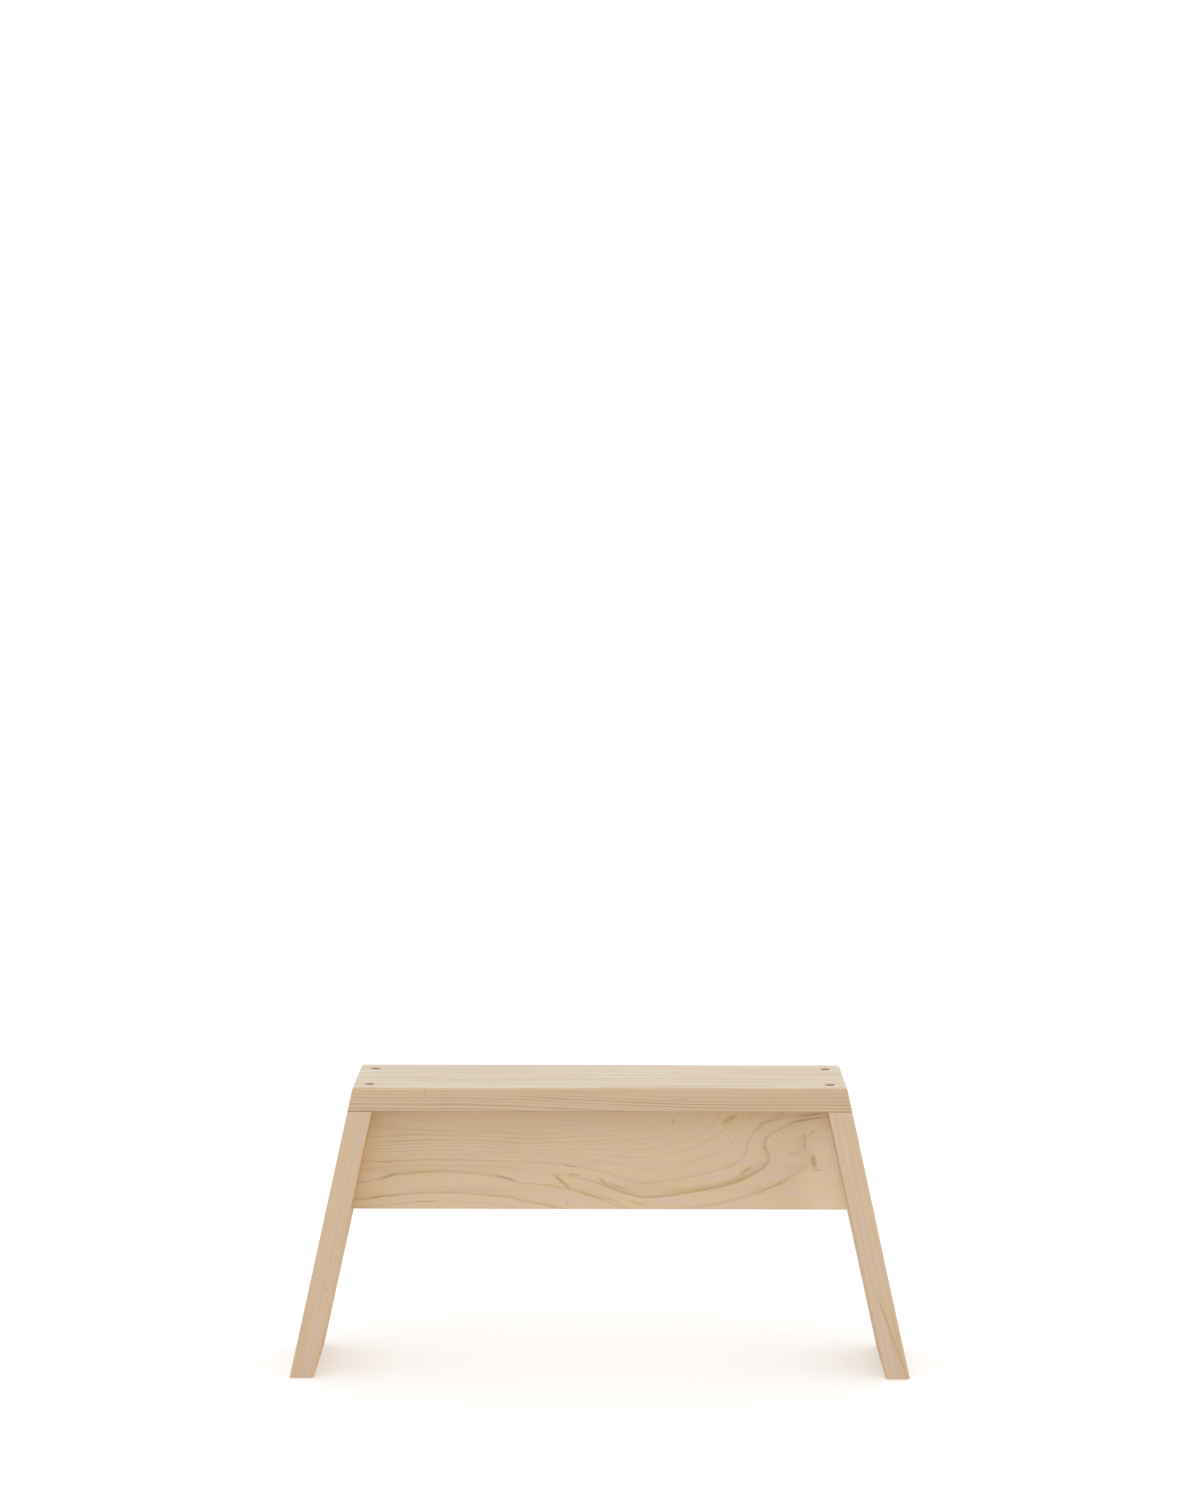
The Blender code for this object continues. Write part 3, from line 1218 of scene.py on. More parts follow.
@dataclass
class WoodScrew:
    """One countersunk wood screw with a cross recess, driven below the surface."""

    node: str
    start: Vector
    direction: Vector
    facing: Vector
    length: float
    sink: float
    head_radius: float = 0.004
    head_rim: float = 0.0004
    head_depth: float = 0.0026
    # How much of the rim is eased, the share of that in its first flat, and the top's inner ring.
    rim_ease: float = 0.6
    first_flat: float = 0.3
    top_ring: float = 0.5
    # The fillet between the head and the shank.
    neck_flare: float = 0.0002
    neck_run: float = 0.0003
    shank_radius: float = 0.0019
    core_radius: float = 0.00135
    crest_radius: float = 0.0021
    # Where the shank ends, the core starts and the thread starts, as shares of the length.
    shank_end: float = 0.38
    core_start: float = 0.40
    thread_start: float = 0.41
    # The thread's pitch, and where its crest lies and how wide half its ridge is, as shares of it.
    pitch: float = 0.0018
    crest_at: float = 0.5
    ridge_half: float = 0.24
    tip_length: float = 0.006
    tip_curve: float = 0.8
    # The cross: its size, and how much smaller it is and how thin its arms are at its floor.
    recess_span: float = 0.0046
    recess_width: float = 0.0012
    recess_depth: float = 0.0019
    recess_floor: float = 0.45
    thinnest_arm: float = 0.4
    arm_shoulder: float = 0.94
    arm_tip: float = 0.5
    mouth: float = 0.004
    bevel_share: float = 0.40
    square_within: float = math.radians(0.1)
    sides: int = 32
    steps_per_turn: int = 8

    @property
    def place(self) -> Matrix:
        """The screw's own frame: the head's top at the origin, and the shank along -Z."""
        turn = (-self.direction).to_track_quat("Z", "Y").to_matrix().to_4x4()
        return Matrix.Translation(self.start + self.direction * self.sink) @ turn

    @property
    def is_square(self) -> bool:
        """Whether the screw stands square to the surface that it enters."""
        return self.direction.angle(-self.facing) < self.square_within

    def ring(self, radius: float, height: float) -> list[Triple]:
        """One ring of points, or a single point for no radius."""
        if radius == 0.0:
            return [(0.0, 0.0, height)]
        turns = [FULL_TURN * i / self.sides for i in range(self.sides)]
        return [(radius * math.cos(turn), radius * math.sin(turn), height) for turn in turns]

    def thread_ring(self, height: float) -> list[Triple]:
        """One ring of the thread, whose ridge climbs round the core.

        Args:
            height: the ring's height in the screw's own frame.

        Returns:
            The ring's points.
        """
        taper = min(1.0, (height + self.length) / self.tip_length) ** self.tip_curve
        points = []
        for i in range(self.sides):
            share = i / self.sides
            from_crest = abs((height / self.pitch - share) % 1.0 - self.crest_at)
            ridge = max(0.0, 1.0 - from_crest / self.ridge_half)
            radius = taper * (self.core_radius + ridge * (self.crest_radius - self.core_radius))
            turn = FULL_TURN * share
            points.append((radius * math.cos(turn), radius * math.sin(turn), height))
        return points

    def body(self) -> bpy.types.Mesh:
        """The head with an eased rim, the plain shank, the thread and the tip.

        Returns:
            The screw's mesh before its recess is cut.
        """
        neck = -self.head_rim - self.head_depth
        ease = self.head_rim * self.rim_ease
        flat = ease * self.first_flat
        profile = ((0.0, 0.0), (self.head_radius * self.top_ring, 0.0), (self.head_radius - ease, 0.0),
                   (self.head_radius - flat, -flat), (self.head_radius, -ease),
                   (self.head_radius, -self.head_rim),
                   (self.shank_radius + self.neck_flare, neck + self.neck_flare),
                   (self.shank_radius, neck - self.neck_run),
                   (self.shank_radius, -self.length * self.shank_end),
                   (self.core_radius, -self.length * self.core_start))
        rings = [self.ring(radius, height) for radius, height in profile]
        step = self.pitch / self.steps_per_turn
        first, last = -self.length * self.thread_start, -self.length + step
        count = math.ceil((first - last) / step)
        rings += [self.thread_ring(first + (last - first) * i / count) for i in range(count + 1)]
        rings.append(self.ring(0.0, -self.length))
        return turned(self.node, rings)

    def cross(self, scale: float, height: float) -> list[Triple]:
        """A cross-shaped ring of points.

        Args:
            scale: the cross's size, as a share of its size at the head's top.
            height: the ring's height in the screw's own frame.

        Returns:
            The ring's points.
        """
        arm = self.recess_span / 2 * scale
        waist = self.recess_width / 2 * (self.thinnest_arm + (1.0 - self.thinnest_arm) * scale)
        shoulder, tip = arm * self.arm_shoulder, waist * self.arm_tip
        quarter = [(shoulder, -waist), (arm, -tip), (arm, tip), (shoulder, waist), (waist, waist)]
        turns = [QUARTER_TURN * i for i in range(4)]
        return [(x * math.cos(turn) - y * math.sin(turn), x * math.sin(turn) + y * math.cos(turn), height)
                for turn in turns for x, y in quarter]

    def cutter(self, word: str, rings: Sequence[Sequence[Triple]], place: Matrix) -> bpy.types.Object:
        """Makes a shape to cut with.

        Args:
            word: what the cutter is for.
            rings: its rings of points, from the top to the bottom.
            place: where the cutter stands.

        Returns:
            The cutter.
        """
        name = f"{self.node}_{word}"
        made = link(name, turned(name, rings))
        made.matrix_world = place
        return made

    def recess(self) -> bpy.types.Object:
        """The tapered cross that a driver fits, as a cutter."""
        rim = self.head_rim
        return self.cutter("recess", [self.ring(0.0, rim), self.cross(1.0, rim), self.cross(1.0, 0.0),
                                      self.cross(self.recess_floor, -self.recess_depth),
                                      self.ring(0.0, -self.recess_depth - rim / 2)], self.place)

    def hole(self) -> bpy.types.Object:
        """The countersunk hole that the boards get, with its mouth bevelled if it is square.

        Returns:
            The hole as a cutter.
        """
        neck = self.head_rim + self.head_depth
        wide, narrow = self.head_radius + FIT_GAP, self.shank_radius + FIT_GAP
        mouth = [(wide, self.mouth)]
        if self.is_square:
            bevel_foot = self.sink * (1.0 - self.bevel_share)
            mouth = [(wide + self.mouth - bevel_foot, self.mouth), (wide, bevel_foot)]
        profile = [(0.0, self.mouth), *mouth, (wide, -self.head_rim - FIT_GAP),
                   (narrow, -neck - FIT_GAP), (narrow, -self.length + self.tip_length - FIT_GAP),
                   (0.0, -self.length - FIT_GAP)]
        return self.cutter("hole", [self.ring(*spot) for spot in profile], self.place)

    def bevel(self) -> bpy.types.Object:
        """The bevelled mouth of a leaning hole, square to the surface.

        Returns:
            The bevel as a cutter.
        """
        radius = self.head_radius + FIT_GAP - self.sink
        depth = self.sink * (1.0 + self.bevel_share)
        profile = [(0.0, self.mouth), (radius + depth + self.mouth, self.mouth), (radius, -depth),
                   (0.0, -depth)]
        turn = self.facing.to_track_quat("Z", "Y").to_matrix().to_4x4()
        return self.cutter("bevel", [self.ring(*spot) for spot in profile],
                           Matrix.Translation(self.start) @ turn)

    def build(self, finish: bpy.types.Material) -> bpy.types.Object:
        """Makes, cuts, dresses and attaches the screw.

        Args:
            finish: the plating's material.

        Returns:
            The finished screw.
        """
        piece = link(self.node + "_fine", self.body())
        piece.matrix_world = self.place
        subtract(piece, [self.recess()])
        piece.data.transform(piece.matrix_world)
        piece.matrix_world = Matrix.Identity(4)
        smooth(piece, SCREW_CREASE)
        piece.data.materials.append(finish)
        return attach(piece, self.node)


@dataclass(frozen=True)
class Station:
    """One level section through a board: a rectangle with rounded corners.

    Eased is set on a rounding between two faces, and seam is how dark the rim of a face that meets
    another board is, partly dirt and partly painted shade.
    """

    height: float
    centre: float
    half_x: float
    half_y: float
    corner: float
    eased: bool = False
    seam: float = 0.0


@dataclass(frozen=True)
class RimPoint:
    """One point of a section, with how much of a rounding and of a joint's rim it is."""

    spot: Triple
    arris: float
    seam: float


@dataclass
class Board:
    """A board lofted from level sections, bored for its screws and dressed.

    Points nearer than merge_distance are one, and points deeper than bared_depth lie in a hole.
    """

    node: str
    slot: Slot
    finish: WoodFinish
    corner_steps: int = 8
    left_seam: float = 1.0
    right_seam: float = 1.0
    merge_distance: float = 1e-7
    bared_depth: float = 1e-4
    screws: list[WoodScrew] = field(default_factory=list)

    def stations(self) -> list[Station]:
        """The board's sections from the lowest to the highest."""
        raise NotImplementedError

    def section(self, height: float, inset: float, eased: bool = False, seam: float = 0.0) -> Station:
        """The board's section at a height, drawn in by an inset."""
        raise NotImplementedError

    def standing(self, base: float, head: float, radius: float, steps: int) -> list[Station]:
        """Sections of a board with a rounded foot, and a head with a barely broken rim.

        Args:
            base: the foot's height.
            head: the head's height.
            radius: the radius of the foot's rounding.
            steps: how many flats the rounding has.

        Returns:
            The sections from the lowest to the highest.
        """
        foot = [self.section(base + radius - rise, inset, 0 < step < steps)
                for step, (rise, inset) in enumerate(quarter_round(radius, steps))]
        return [*reversed(foot), self.section(head - SEAM_BREAK, 0.0),
                self.section(head, SEAM_BREAK, seam=1.0)]

    def outline(self, station: Station) -> list[RimPoint]:
        """One section's points, in turn about +Z.

        Args:
            station: the section.

        Returns:
            The points.
        """
        points = []
        for quarter, (way_x, way_y) in enumerate(((1, 1), (-1, 1), (-1, -1), (1, -1))):
            middle_x = station.centre + way_x * (station.half_x - station.corner)
            middle_y = way_y * (station.half_y - station.corner)
            # How dark this end's joint rim is: partly dirt, partly painted shade.
            rim_darkness = self.right_seam if way_x > 0 else self.left_seam
            for step in range(self.corner_steps + 1):
                angle = QUARTER_TURN * (quarter + step / self.corner_steps)
                spot = (middle_x + station.corner * math.cos(angle),
                        middle_y + station.corner * math.sin(angle), station.height)
                arris = float(station.eased or 0 < step < self.corner_steps)
                points.append(RimPoint(spot, arris, station.seam * rim_darkness))
        return points

    def loft(self) -> bpy.types.Mesh:
        """The board before it is bored, with its roundings and joints marked.

        Returns:
            The closed mesh.
        """
        bm = bmesh.new()
        arris, seam = (bm.verts.layers.float.new(name) for name in ("arris", "seam"))
        loops = []
        for station in self.stations():
            loop = []
            for point in self.outline(station):
                vert = bm.verts.new(point.spot)
                vert[arris], vert[seam] = point.arris, point.seam
                loop.append(vert)
            loops.append(loop)
        for low, high in zip(loops, loops[1:]):
            for i, vert in enumerate(low):
                follow = (i + 1) % len(low)
                bm.faces.new((vert, low[follow], high[follow], high[i]))
        bm.faces.new(loops[0])
        bm.faces.new(loops[-1])
        bmesh.ops.remove_doubles(bm, verts=bm.verts, dist=self.merge_distance)
        return as_mesh(bm, self.node)

    def mark_bores(self, piece: bpy.types.Object, planes: tuple[np.ndarray, np.ndarray]) -> None:
        """Marks the points that drilling has laid bare.

        Args:
            piece: the bored board.
            planes: middles and normals of the faces of the board before it was bored.
        """
        middles, normals = planes
        places = np.array([vert.co for vert in piece.data.vertices])
        depths = np.sum((middles[None] - places[:, None]) * normals[None], axis=2).min(axis=1)
        layer = piece.data.attributes.new("bore", "FLOAT", "POINT")
        layer.data.foreach_set("value", (depths > self.bared_depth).astype(np.float32))

    def build(self, kit: GrainKit) -> bpy.types.Object:
        """Makes, bores, dresses and attaches the board.

        Args:
            kit: the shared node groups.

        Returns:
            The finished board.
        """
        piece = link(self.node + "_fine", self.loft())
        faces = piece.data.polygons
        planes = np.array([face.center for face in faces]), np.array([face.normal for face in faces])
        cutters = [screw.hole() for screw in self.screws]
        cutters += [screw.bevel() for screw in self.screws if not screw.is_square]
        subtract(piece, cutters)
        self.mark_bores(piece, planes)
        smooth(piece, BOARD_CREASE)
        piece.data.materials.clear()
        piece.data.materials.append(self.finish.material(kit))
        return attach(piece, self.node)


def quarter_round(radius: float, steps: int) -> list[Span]:
    """How a quarter-round edge runs from a side face up to a top face.

    Args:
        radius: the edge's radius.
        steps: how many flats it has.

    Returns:
        Pairs of rise above the rounding's start and inset from the side face.
    """
    turns = [QUARTER_TURN * i / steps for i in range(steps + 1)]
    return [(radius * math.sin(turn), radius * (1.0 - math.cos(turn))) for turn in turns]


@dataclass
class SeatBoard(Board):
    """The seat: rounded on top and at its corners, and barely broken where it meets the legs."""

    # How dark the underside's rim is at each end: partly dirt, partly painted shade.
    left_seam: float = 0.9
    right_seam: float = 0.4
    # How far the dark rim of the underside reaches, partly dirt and partly painted shade, and how much of
    # it the broken edge's top shows.
    dust_reach: float = SEAM_BREAK * 3
    upper_dust: float = 0.6

    def section(self, height: float, inset: float, eased: bool = False, seam: float = 0.0) -> Station:
        """The seat's section at a height, drawn in by an inset."""
        return Station(height, 0.0, outer_x(height) - inset, BOARD_WIDTH / 2 - inset,
                       ARRIS_RADIUS - inset, eased, seam)

    def stations(self) -> list[Station]:
        """The underside with its rim, sloping ends and a rounded top edge."""
        rounding = quarter_round(ARRIS_RADIUS, self.corner_steps)
        return [self.section(UNDERSIDE, self.dust_reach), self.section(UNDERSIDE, SEAM_BREAK, seam=1.0),
                self.section(UNDERSIDE + SEAM_BREAK, 0.0, seam=self.upper_dust),
                self.section(UNDERSIDE + self.dust_reach, 0.0),
                *(self.section(STOOL_HEIGHT - ARRIS_RADIUS + rise, inset, 0 < step < self.corner_steps)
                  for step, (rise, inset) in enumerate(rounding))]


@dataclass
class Leg(Board):
    """One leg: level at the floor and under the seat, with its long edges rounded."""

    # How dark the head's rim is at each edge: partly dirt, partly painted shade.
    left_seam: float = 0.7
    right_seam: float = 0.7
    side: Side = Side.LEFT
    head_gap: float = FIT_GAP
    foot_radius: float = 0.0006
    foot_steps: int = 3

    def section(self, height: float, inset: float, eased: bool = False, seam: float = 0.0) -> Station:
        """The leg's section at a height, drawn in by an inset."""
        middle = (outer_x(height) + inner_x(height)) / 2
        half = (outer_x(height) - inner_x(height)) / 2
        return Station(height, self.side.value * middle, half - inset, BOARD_WIDTH / 2 - inset,
                       ARRIS_RADIUS - inset, eased, seam)

    def stations(self) -> list[Station]:
        """A lightly sanded foot on the floor, and a head just under the seat."""
        return self.standing(0.0, UNDERSIDE - self.head_gap, self.foot_radius, self.foot_steps)


@dataclass
class Apron(Board):
    """The apron: wider below than above, with its two lower edges rounded, and closer to the left leg."""

    corner_steps: int = 2
    left_gap: float = 0.00003
    right_gap: float = 0.00006
    end_break: float = 0.00008
    round_steps: int = 8

    def section(self, height: float, inset: float, eased: bool = False, seam: float = 0.0) -> Station:
        """The apron's section at a height, with its faces drawn in by an inset."""
        left, right = (inner_x(height) - gap / math.cos(LEG_SPLAY)
                       for gap in (self.left_gap, self.right_gap))
        return Station(height, (right - left) / 2, (right + left) / 2, BOARD_THICKNESS / 2 - inset,
                       self.end_break, eased, seam)

    def stations(self) -> list[Station]:
        """Rounded lower edges, and a head just under the seat."""
        return self.standing(SHOULDER - BOARD_WIDTH, SHOULDER, ARRIS_RADIUS, self.round_steps)


APRON_MARKS = (
    GrainMark(104.5, 14.0, 9.0, 2.8, turn=-30.0, share=0.65),
    GrainMark(129.0, 20.7, 6.0, 2.2, turn=-50.0, share=0.35),
    GrainMark(139.0, 15.0, 17.0, 1.6, turn=-15.0, share=0.55),
    GrainMark(168.0, 14.0, 20.0, 1.4, turn=-9.0, tone=Tone.TEAR, share=0.6),
    GrainMark(171.0, 10.0, 16.0, 1.3, turn=-6.0, share=0.7),
    GrainMark(59.4, 15.5, 2.2, 1.0, turn=-50.0, tone=Tone.TEAR, share=0.7),
    GrainMark(47.8, 13.4, 1.2, 0.7, tone=Tone.TEAR),
    GrainMark(92.9, 16.0, 1.2, 0.7, tone=Tone.TEAR),
    GrainMark(118.0, 56.0, 7.0, 2.2, turn=-35.0, share=0.6),
    GrainMark(111.0, 66.0, 9.0, 1.8, turn=-20.0, share=0.4, jag=1.5),
    GrainMark(141.0, 69.0, 17.0, 1.1, turn=-25.0, share=0.5, jag=0.8),
    GrainMark(-31.0, 65.5, 12.0, 2.2, turn=42.0, share=0.75, jag=1.2),
    GrainMark(-21.6, 60.0, 6.0, 1.6, turn=3.0, share=0.6),
    GrainMark(-24.0, 53.0, 5.0, 1.0, turn=8.0, tone=Tone.TEAR),
    GrainMark(-8.0, 77.0, 18.0, 1.3, turn=15.0, share=0.5),
    GrainMark(2.4, 65.5, 6.0, 1.6, turn=48.0, share=0.65),
    GrainMark(14.0, 69.5, 10.0, 1.3, turn=20.0, share=0.45),
    GrainMark(8.0, 79.5, 11.0, 1.5, turn=22.0, share=0.4),
    GrainMark(31.0, 83.5, 11.0, 1.6, turn=13.0, share=0.4),
    GrainMark(-171.0, 61.4, 10.0, 1.5, turn=-20.0, tone=Tone.TEAR, share=0.55),
    GrainMark(-173.0, 50.0, 6.0, 0.8, tone=Tone.TEAR, share=0.4),
    GrainMark(-76.0, 62.8, 12.0, 1.5, turn=16.0, tone=Tone.TEAR, share=0.55),
    GrainMark(-141.0, 82.5, 12.0, 0.9, turn=3.0, tone=Tone.TEAR, share=0.35),
    GrainMark(-26.7, 83.5, 2.4, 0.8, turn=80.0, tone=Tone.TEAR),
    GrainMark(173.0, 49.0, 8.0, 3.2, turn=82.0, share=0.65, jag=1.0),
    GrainMark(176.0, 55.5, 6.0, 1.2, turn=-8.0, share=0.5),
    GrainMark(165.5, 32.0, 10.0, 1.3, turn=86.0, share=0.5, jag=1.5),
    GrainMark(171.5, 25.0, 5.0, 1.4, turn=-40.0, share=0.45),
    GrainMark(157.0, 41.8, 7.0, 3.0, share=0.3),
)

SEAT_MARKS = (
    GrainMark(-139.0, -3.6, 5.0, 1.3, turn=86.0, tone=Tone.TEAR, share=0.25, face=MarkFace.FRONT_EDGE),
    GrainMark(63.0, -9.1, 12.0, 0.8, turn=3.0, share=0.6, jag=0.3, face=MarkFace.FRONT_EDGE),
    GrainMark(172.0, -1.8, 2.2, 0.8, tone=Tone.TEAR, share=0.4, face=MarkFace.FRONT_EDGE),
    GrainMark(-22.6, -21.5, 20.0, 1.1, tone=Tone.TEAR, share=0.30, jag=0.3),
    GrainMark(106.5, -29.0, 11.0, 1.0, tone=Tone.TEAR, share=0.45, jag=0.2),
    GrainMark(39.0, -24.5, 16.0, 1.2, share=0.35, jag=0.3),
)


@dataclass(frozen=True)
class LegTimber:
    """What sets one leg's board apart: its colour, how much painted warm light its inner face gets, its fit
    and its mark.
    """

    earlywood: Colour
    amber_share: float
    head_gap: float
    mark: GrainMark


# The second number of each is the painted warm light on the leg's inner face.
LEG_TIMBER = {
    Side.LEFT: LegTimber((0.648, 0.490, 0.346), 0.4, 0.00020,
                         GrainMark(-78.0, -13.7, 2.2, 0.7, tone=Tone.TEAR, share=0.5,
                                   face=MarkFace.FRONT_EDGE)),
    Side.RIGHT: LegTimber((0.660, 0.501, 0.356), 0.1, 0.00008,
                          GrainMark(-41.0, -7.4, 50.0, 1.5, turn=7.6, share=0.45, jag=0.4,
                                    face=MarkFace.FRONT_EDGE)),
}


@dataclass
class Stool:
    """The whole stool: its boards and the screws that hold them."""

    seat_screw_length: float = 0.045
    seat_screw_sink: float = 0.0012
    seat_screw_from_end: float = 0.013
    seat_screw_from_edge: float = 0.0155
    apron_screw_length: float = 0.05
    apron_screw_sink: float = 0.0005
    kit: GrainKit = field(default_factory=GrainKit)

    def seat_screw(self, side: Side, face: Face) -> WoodScrew:
        """A screw through the seat, leaning with the leg below it.

        Args:
            side: the end of the seat.
            face: the front or back of the seat.

        Returns:
            The screw, not yet made.
        """
        way = side.value
        start = Vector((way * (SEAT_LENGTH / 2 - self.seat_screw_from_end),
                        face.value * (BOARD_WIDTH / 2 - self.seat_screw_from_edge), STOOL_HEIGHT))
        down = Vector((way * math.sin(LEG_SPLAY), 0.0, -math.cos(LEG_SPLAY)))
        return WoodScrew(f"seat_screw_{side.word}_{face.word}", start, down, Vector((0.0, 0.0, 1.0)),
                         self.seat_screw_length, self.seat_screw_sink)

    def apron_screw(self, side: Side, level: Level) -> WoodScrew:
        """A screw square through a leg into the apron's end.

        Args:
            side: the leg's side.
            level: the upper or lower screw.

        Returns:
            The screw, not yet made.
        """
        way, height = side.value, UNDERSIDE - level.value
        inward = Vector((-way * math.cos(LEG_SPLAY), 0.0, -math.sin(LEG_SPLAY)))
        start = Vector((way * inner_x(height), 0.0, height)) - inward * BOARD_THICKNESS
        return WoodScrew(f"apron_screw_{side.word}_{level.word}", start, inward, -inward,
                         self.apron_screw_length, self.apron_screw_sink)

    def seat_finish(self) -> WoodFinish:
        """Rings that lie nearly level, so the front edge shows fine lines and the top stays plain."""
        axes = BoardAxes((0.0, 0.0, STOOL_HEIGHT), (1.0, 0.0, 0.0), (0.0, 1.0, 0.0), (0.0, 0.0, 1.0))
        figure = LogFigure(pith=(14.0, -150.0), ring_width=2.7, line_width=1.0, sink=8.0,
                           sapwood=(-8.5, -5.5), paled_share=0.5)
        return WoodFinish("seat_softwood", axes, figure, SEAT_MARKS, latewood_share=0.60,
                          line_share=1.02, streak_length=60.0, earlywood=(0.605, 0.440, 0.284),
                          specular=0.5, roughness=0.285, relief=0.00005)

    def leg_finish(self, side: Side) -> WoodFinish:
        """Quiet front edges and straight grain down the wide faces, from two different boards.

        Args:
            side: the leg's side.

        Returns:
            The leg's finish.
        """
        way, timber = side.value, LEG_TIMBER[side]
        down = (way * math.sin(LEG_SPLAY), 0.0, -math.cos(LEG_SPLAY))
        out = (way * math.cos(LEG_SPLAY), 0.0, math.sin(LEG_SPLAY))
        axes = BoardAxes((way * outer_x(0.0), 0.0, 0.0), down, (0.0, 1.0, 0.0), out)
        figure = LogFigure(pith=(way * 30.0, -130.0), ring_width=4.6, line_width=2.2, wander=2.4,
                           wander_length=200.0, edge_calm=0.65, straw_share=0.7,
                           amber_share=timber.amber_share)
        return WoodFinish(f"{side.word}_leg_softwood", axes, figure, (timber.mark,),
                          latewood_share=0.34, line_share=0.52, streak_share=0.10, streak_length=60.0,
                          patch_share=0.35, earlywood=timber.earlywood, specular=0.12, roughness=0.62)

    def apron_finish(self) -> WoodFinish:
        """Bowls and level lines, as a plain-sawn board shows."""
        axes = BoardAxes((0.0, -BOARD_THICKNESS / 2, SHOULDER), (1.0, 0.0, 0.0), (0.0, 0.0, -1.0),
                         (0.0, 1.0, 0.0))
        return WoodFinish("apron_softwood", axes, BowlFigure(), APRON_MARKS, latewood_share=0.15,
                          line_share=0.66, streak_share=0.20, streak_length=50.0, hue_swing=0.09,
                          earlywood=(0.684, 0.519, 0.342))

    def build(self) -> list[bpy.types.Object]:
        """Makes every board and screw.

        Returns:
            The pieces in the order in which they were made.
        """
        seat_screws = {side: [self.seat_screw(side, face) for face in Face] for side in Side}
        apron_screws = {side: [self.apron_screw(side, level) for level in Level] for side in Side}
        every_seat_screw = [screw for side in Side for screw in seat_screws[side]]
        every_apron_screw = [screw for side in Side for screw in apron_screws[side]]
        boards = [SeatBoard("seat_board", Slot.SEAT, self.seat_finish(), screws=every_seat_screw)]
        boards += [Leg(f"{side.word}_leg", Slot.LEG, self.leg_finish(side), side=side,
                       head_gap=LEG_TIMBER[side].head_gap,
                       screws=[*seat_screws[side], *apron_screws[side]]) for side in Side]
        boards.append(Apron("apron", Slot.APRON, self.apron_finish(), screws=every_apron_screw))
        plating = BronzedFinish().material()
        pieces = [board.build(self.kit) for board in boards]
        return pieces + [screw.build(plating) for screw in (*every_seat_screw, *every_apron_screw)]


@dataclass(frozen=True)
class Softbox:
    """A large soft lamp that the camera and polished faces don't see."""

    name: str
    place: Triple
    size: Span
    power: float

    def build(self, aim: Triple) -> bpy.types.Object:
        """Hangs the lamp and turns it to its aim.

        Args:
            aim: the point that the lamp faces.

        Returns:
            The lamp.
        """
        lamp = bpy.data.lights.new(self.name, "AREA")
        lamp.shape = "RECTANGLE"
        lamp.size, lamp.size_y = self.size
        lamp.energy = self.power
        made = link(self.name, lamp)
        made.location = self.place
        made.rotation_mode = "QUATERNION"
        made.rotation_quaternion = (Vector(aim) - Vector(self.place)).to_track_quat("-Z", "Y")
        made.visible_camera = False
        made.visible_glossy = False
        return made


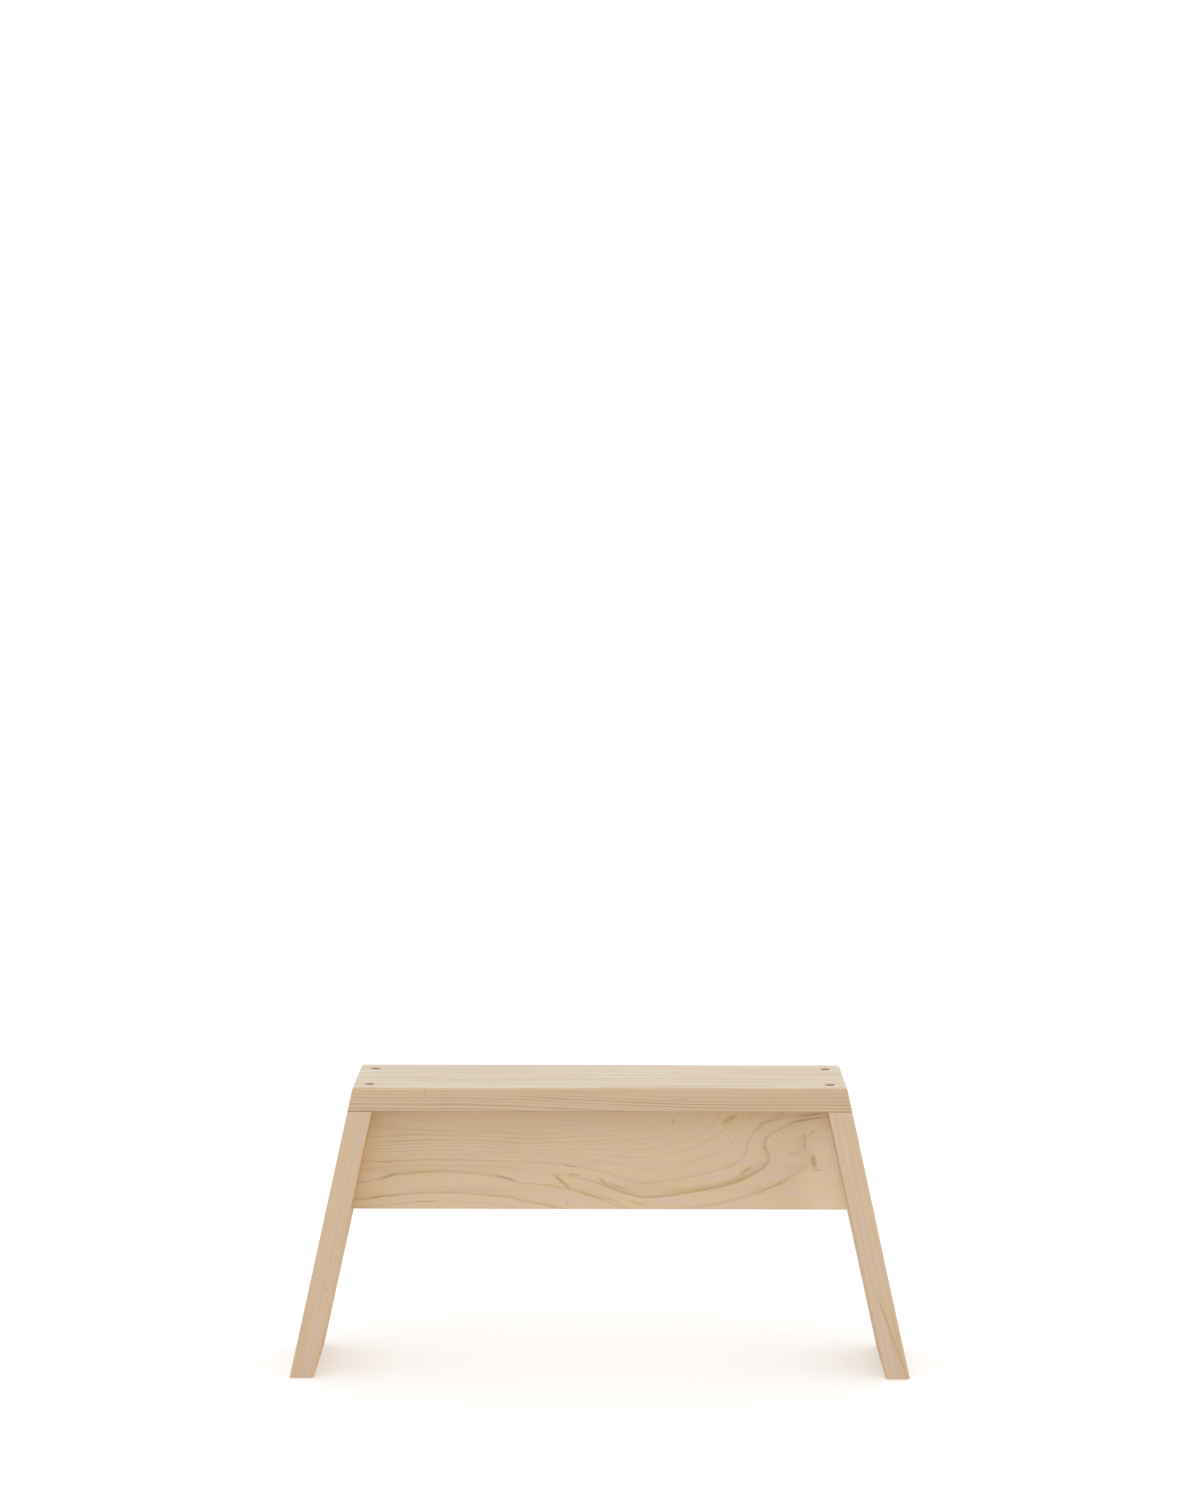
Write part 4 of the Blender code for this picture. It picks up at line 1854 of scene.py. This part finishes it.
@dataclass
class Studio:
    """White floor and surroundings, soft lamps, and the camera."""

    surround_light: float = 0.85
    # A broad lamp overhead and a low one in front, a little to the left.
    softboxes: tuple[Softbox, ...] = (
        Softbox("overhead_softbox", (0.0, -0.15, 2.4), (2.4, 2.4), 10.0),
        Softbox("front_softbox", (-0.25, -2.5, 0.5), (1.6, 0.9), 6.4))
    lamp_aim: Triple = (0.0, 0.0, 0.15)
    floor_colour: float = 0.92
    floor_lift: float = 0.20
    floor_half: float = 7.0
    floor_tiles: int = 8
    floor_drop: float = 0.0002
    sole_reach: float = 0.001
    # Between these distances from the stool the floor turns plain white.
    near_radius: float = 0.75
    far_radius: float = 1.6
    camera_place: Triple = (0.01176, -2.3463, 0.7551)
    camera_pitch: float = math.radians(6.108)
    camera_yaw: float = math.radians(-0.2944)
    camera_roll: float = math.radians(0.0481)
    camera_lens: float = 70.67
    camera_sensor: float = 36.0

    @staticmethod
    def seen_directly(wiring: Wiring) -> Signal:
        """1 for rays that show the surroundings, 0 for rays that carry their light."""
        path = wiring.node("LightPath")
        shown = wiring.math("MAXIMUM", wiring.out(path, "Is Camera Ray"), wiring.out(path, "Is Glossy Ray"))
        return wiring.math("MAXIMUM", shown, wiring.out(path, "Is Transmission Ray"))

    def surroundings(self) -> None:
        """White all round, lighting the stool less than it shows."""
        world = bpy.data.worlds.new("white_surroundings")
        bpy.context.scene.world = world
        world.use_nodes = True
        wiring = Wiring(world.node_tree)
        world.node_tree.nodes.clear()
        lit, shown = (wiring.wire("Background", {"Color": (1.0, 1.0, 1.0), "Strength": strength})
                      for strength in (self.surround_light, 1.0))
        chosen = wiring.mix(self.seen_directly(wiring), lit, shown)
        wiring.feed(wiring.node("OutputWorld").inputs["Surface"], chosen)

    def floor_finish(self) -> bpy.types.Material:
        """Matt white that takes the stool's shadow, and plain white farther out.

        It is clear from below, and to rays that start at the soles, so that the soles aren't black.

        Returns:
            The material.
        """
        made = bpy.data.materials.new("white_floor")
        made.use_nodes = True
        wiring = Wiring(made.node_tree)
        made.node_tree.nodes.clear()
        shown = self.seen_directly(wiring)
        matt = wiring.wire("BsdfDiffuse", {"Color": (self.floor_colour,) * 3})
        lift = wiring.wire("Emission", {"Strength": shown * self.floor_lift})
        near = wiring.wire("AddShader", {0: matt, 1: lift})
        white = wiring.out(wiring.node("Emission"))
        point = wiring.out(wiring.node("TexCoord"), "Object")
        distance = wiring.vector_math("LENGTH", "Value", point)
        far = wiring.ease(distance, self.near_radius, self.far_radius)
        laid = wiring.mix(far * shown, near, white)
        ray_length = wiring.out(wiring.node("LightPath"), "Ray Length")
        close = wiring.math("LESS_THAN", ray_length, self.sole_reach)
        below = wiring.out(wiring.node("NewGeometry"), "Backfacing")
        clear = wiring.out(wiring.node("BsdfTransparent"))
        finished = wiring.mix(wiring.math("MAXIMUM", below, close), laid, clear)
        wiring.feed(wiring.node("OutputMaterial").inputs["Surface"], finished)
        return made

    def floor(self) -> bpy.types.Object:
        """Lays the floor just under the feet, facing up.

        Returns:
            The floor.
        """
        bm = bmesh.new()
        bmesh.ops.create_grid(bm, x_segments=self.floor_tiles, y_segments=self.floor_tiles,
                              size=self.floor_half)
        bmesh.ops.translate(bm, verts=bm.verts, vec=(0.0, 0.0, -self.floor_drop))
        mesh = as_mesh(bm, "studio_floor")
        if mesh.polygons[0].normal.z < 0.0:
            mesh.flip_normals()
        made = link("studio_floor", mesh)
        made.data.materials.append(self.floor_finish())
        return made

    def camera(self) -> bpy.types.Object:
        """Sets the camera where the photograph was taken from.

        Returns:
            The camera.
        """
        pitch, yaw, roll = self.camera_pitch, self.camera_yaw, self.camera_roll
        forward = Vector((math.sin(yaw) * math.cos(pitch), math.cos(yaw) * math.cos(pitch),
                          -math.sin(pitch)))
        level = Vector((math.cos(yaw), -math.sin(yaw), 0.0))
        upright = level.cross(forward)
        right = level * math.cos(roll) + upright * math.sin(roll)
        up = upright * math.cos(roll) - level * math.sin(roll)
        lens = bpy.data.cameras.new("studio_camera")
        lens.sensor_width = self.camera_sensor
        lens.lens = self.camera_lens
        made = link("studio_camera", lens)
        turn = Matrix((right, up, -forward)).transposed().to_4x4()
        made.matrix_world = Matrix.Translation(Vector(self.camera_place)) @ turn
        bpy.context.scene.camera = made
        return made

    def build(self) -> None:
        """Sets up the whole studio."""
        bpy.context.scene.view_settings.view_transform = "Standard"
        self.surroundings()
        self.floor()
        for softbox in self.softboxes:
            softbox.build(self.lamp_aim)
        self.camera()


def main() -> None:
    """Builds the studio and the stool, and reports each piece."""
    logging.basicConfig(level=logging.INFO, format="%(name)s: %(message)s")
    Studio().build()
    for piece in Stool().build():
        log.info("%s: %d points, %d faces", piece.name, len(piece.data.vertices), len(piece.data.polygons))


if __name__ == "__main__":
    main()
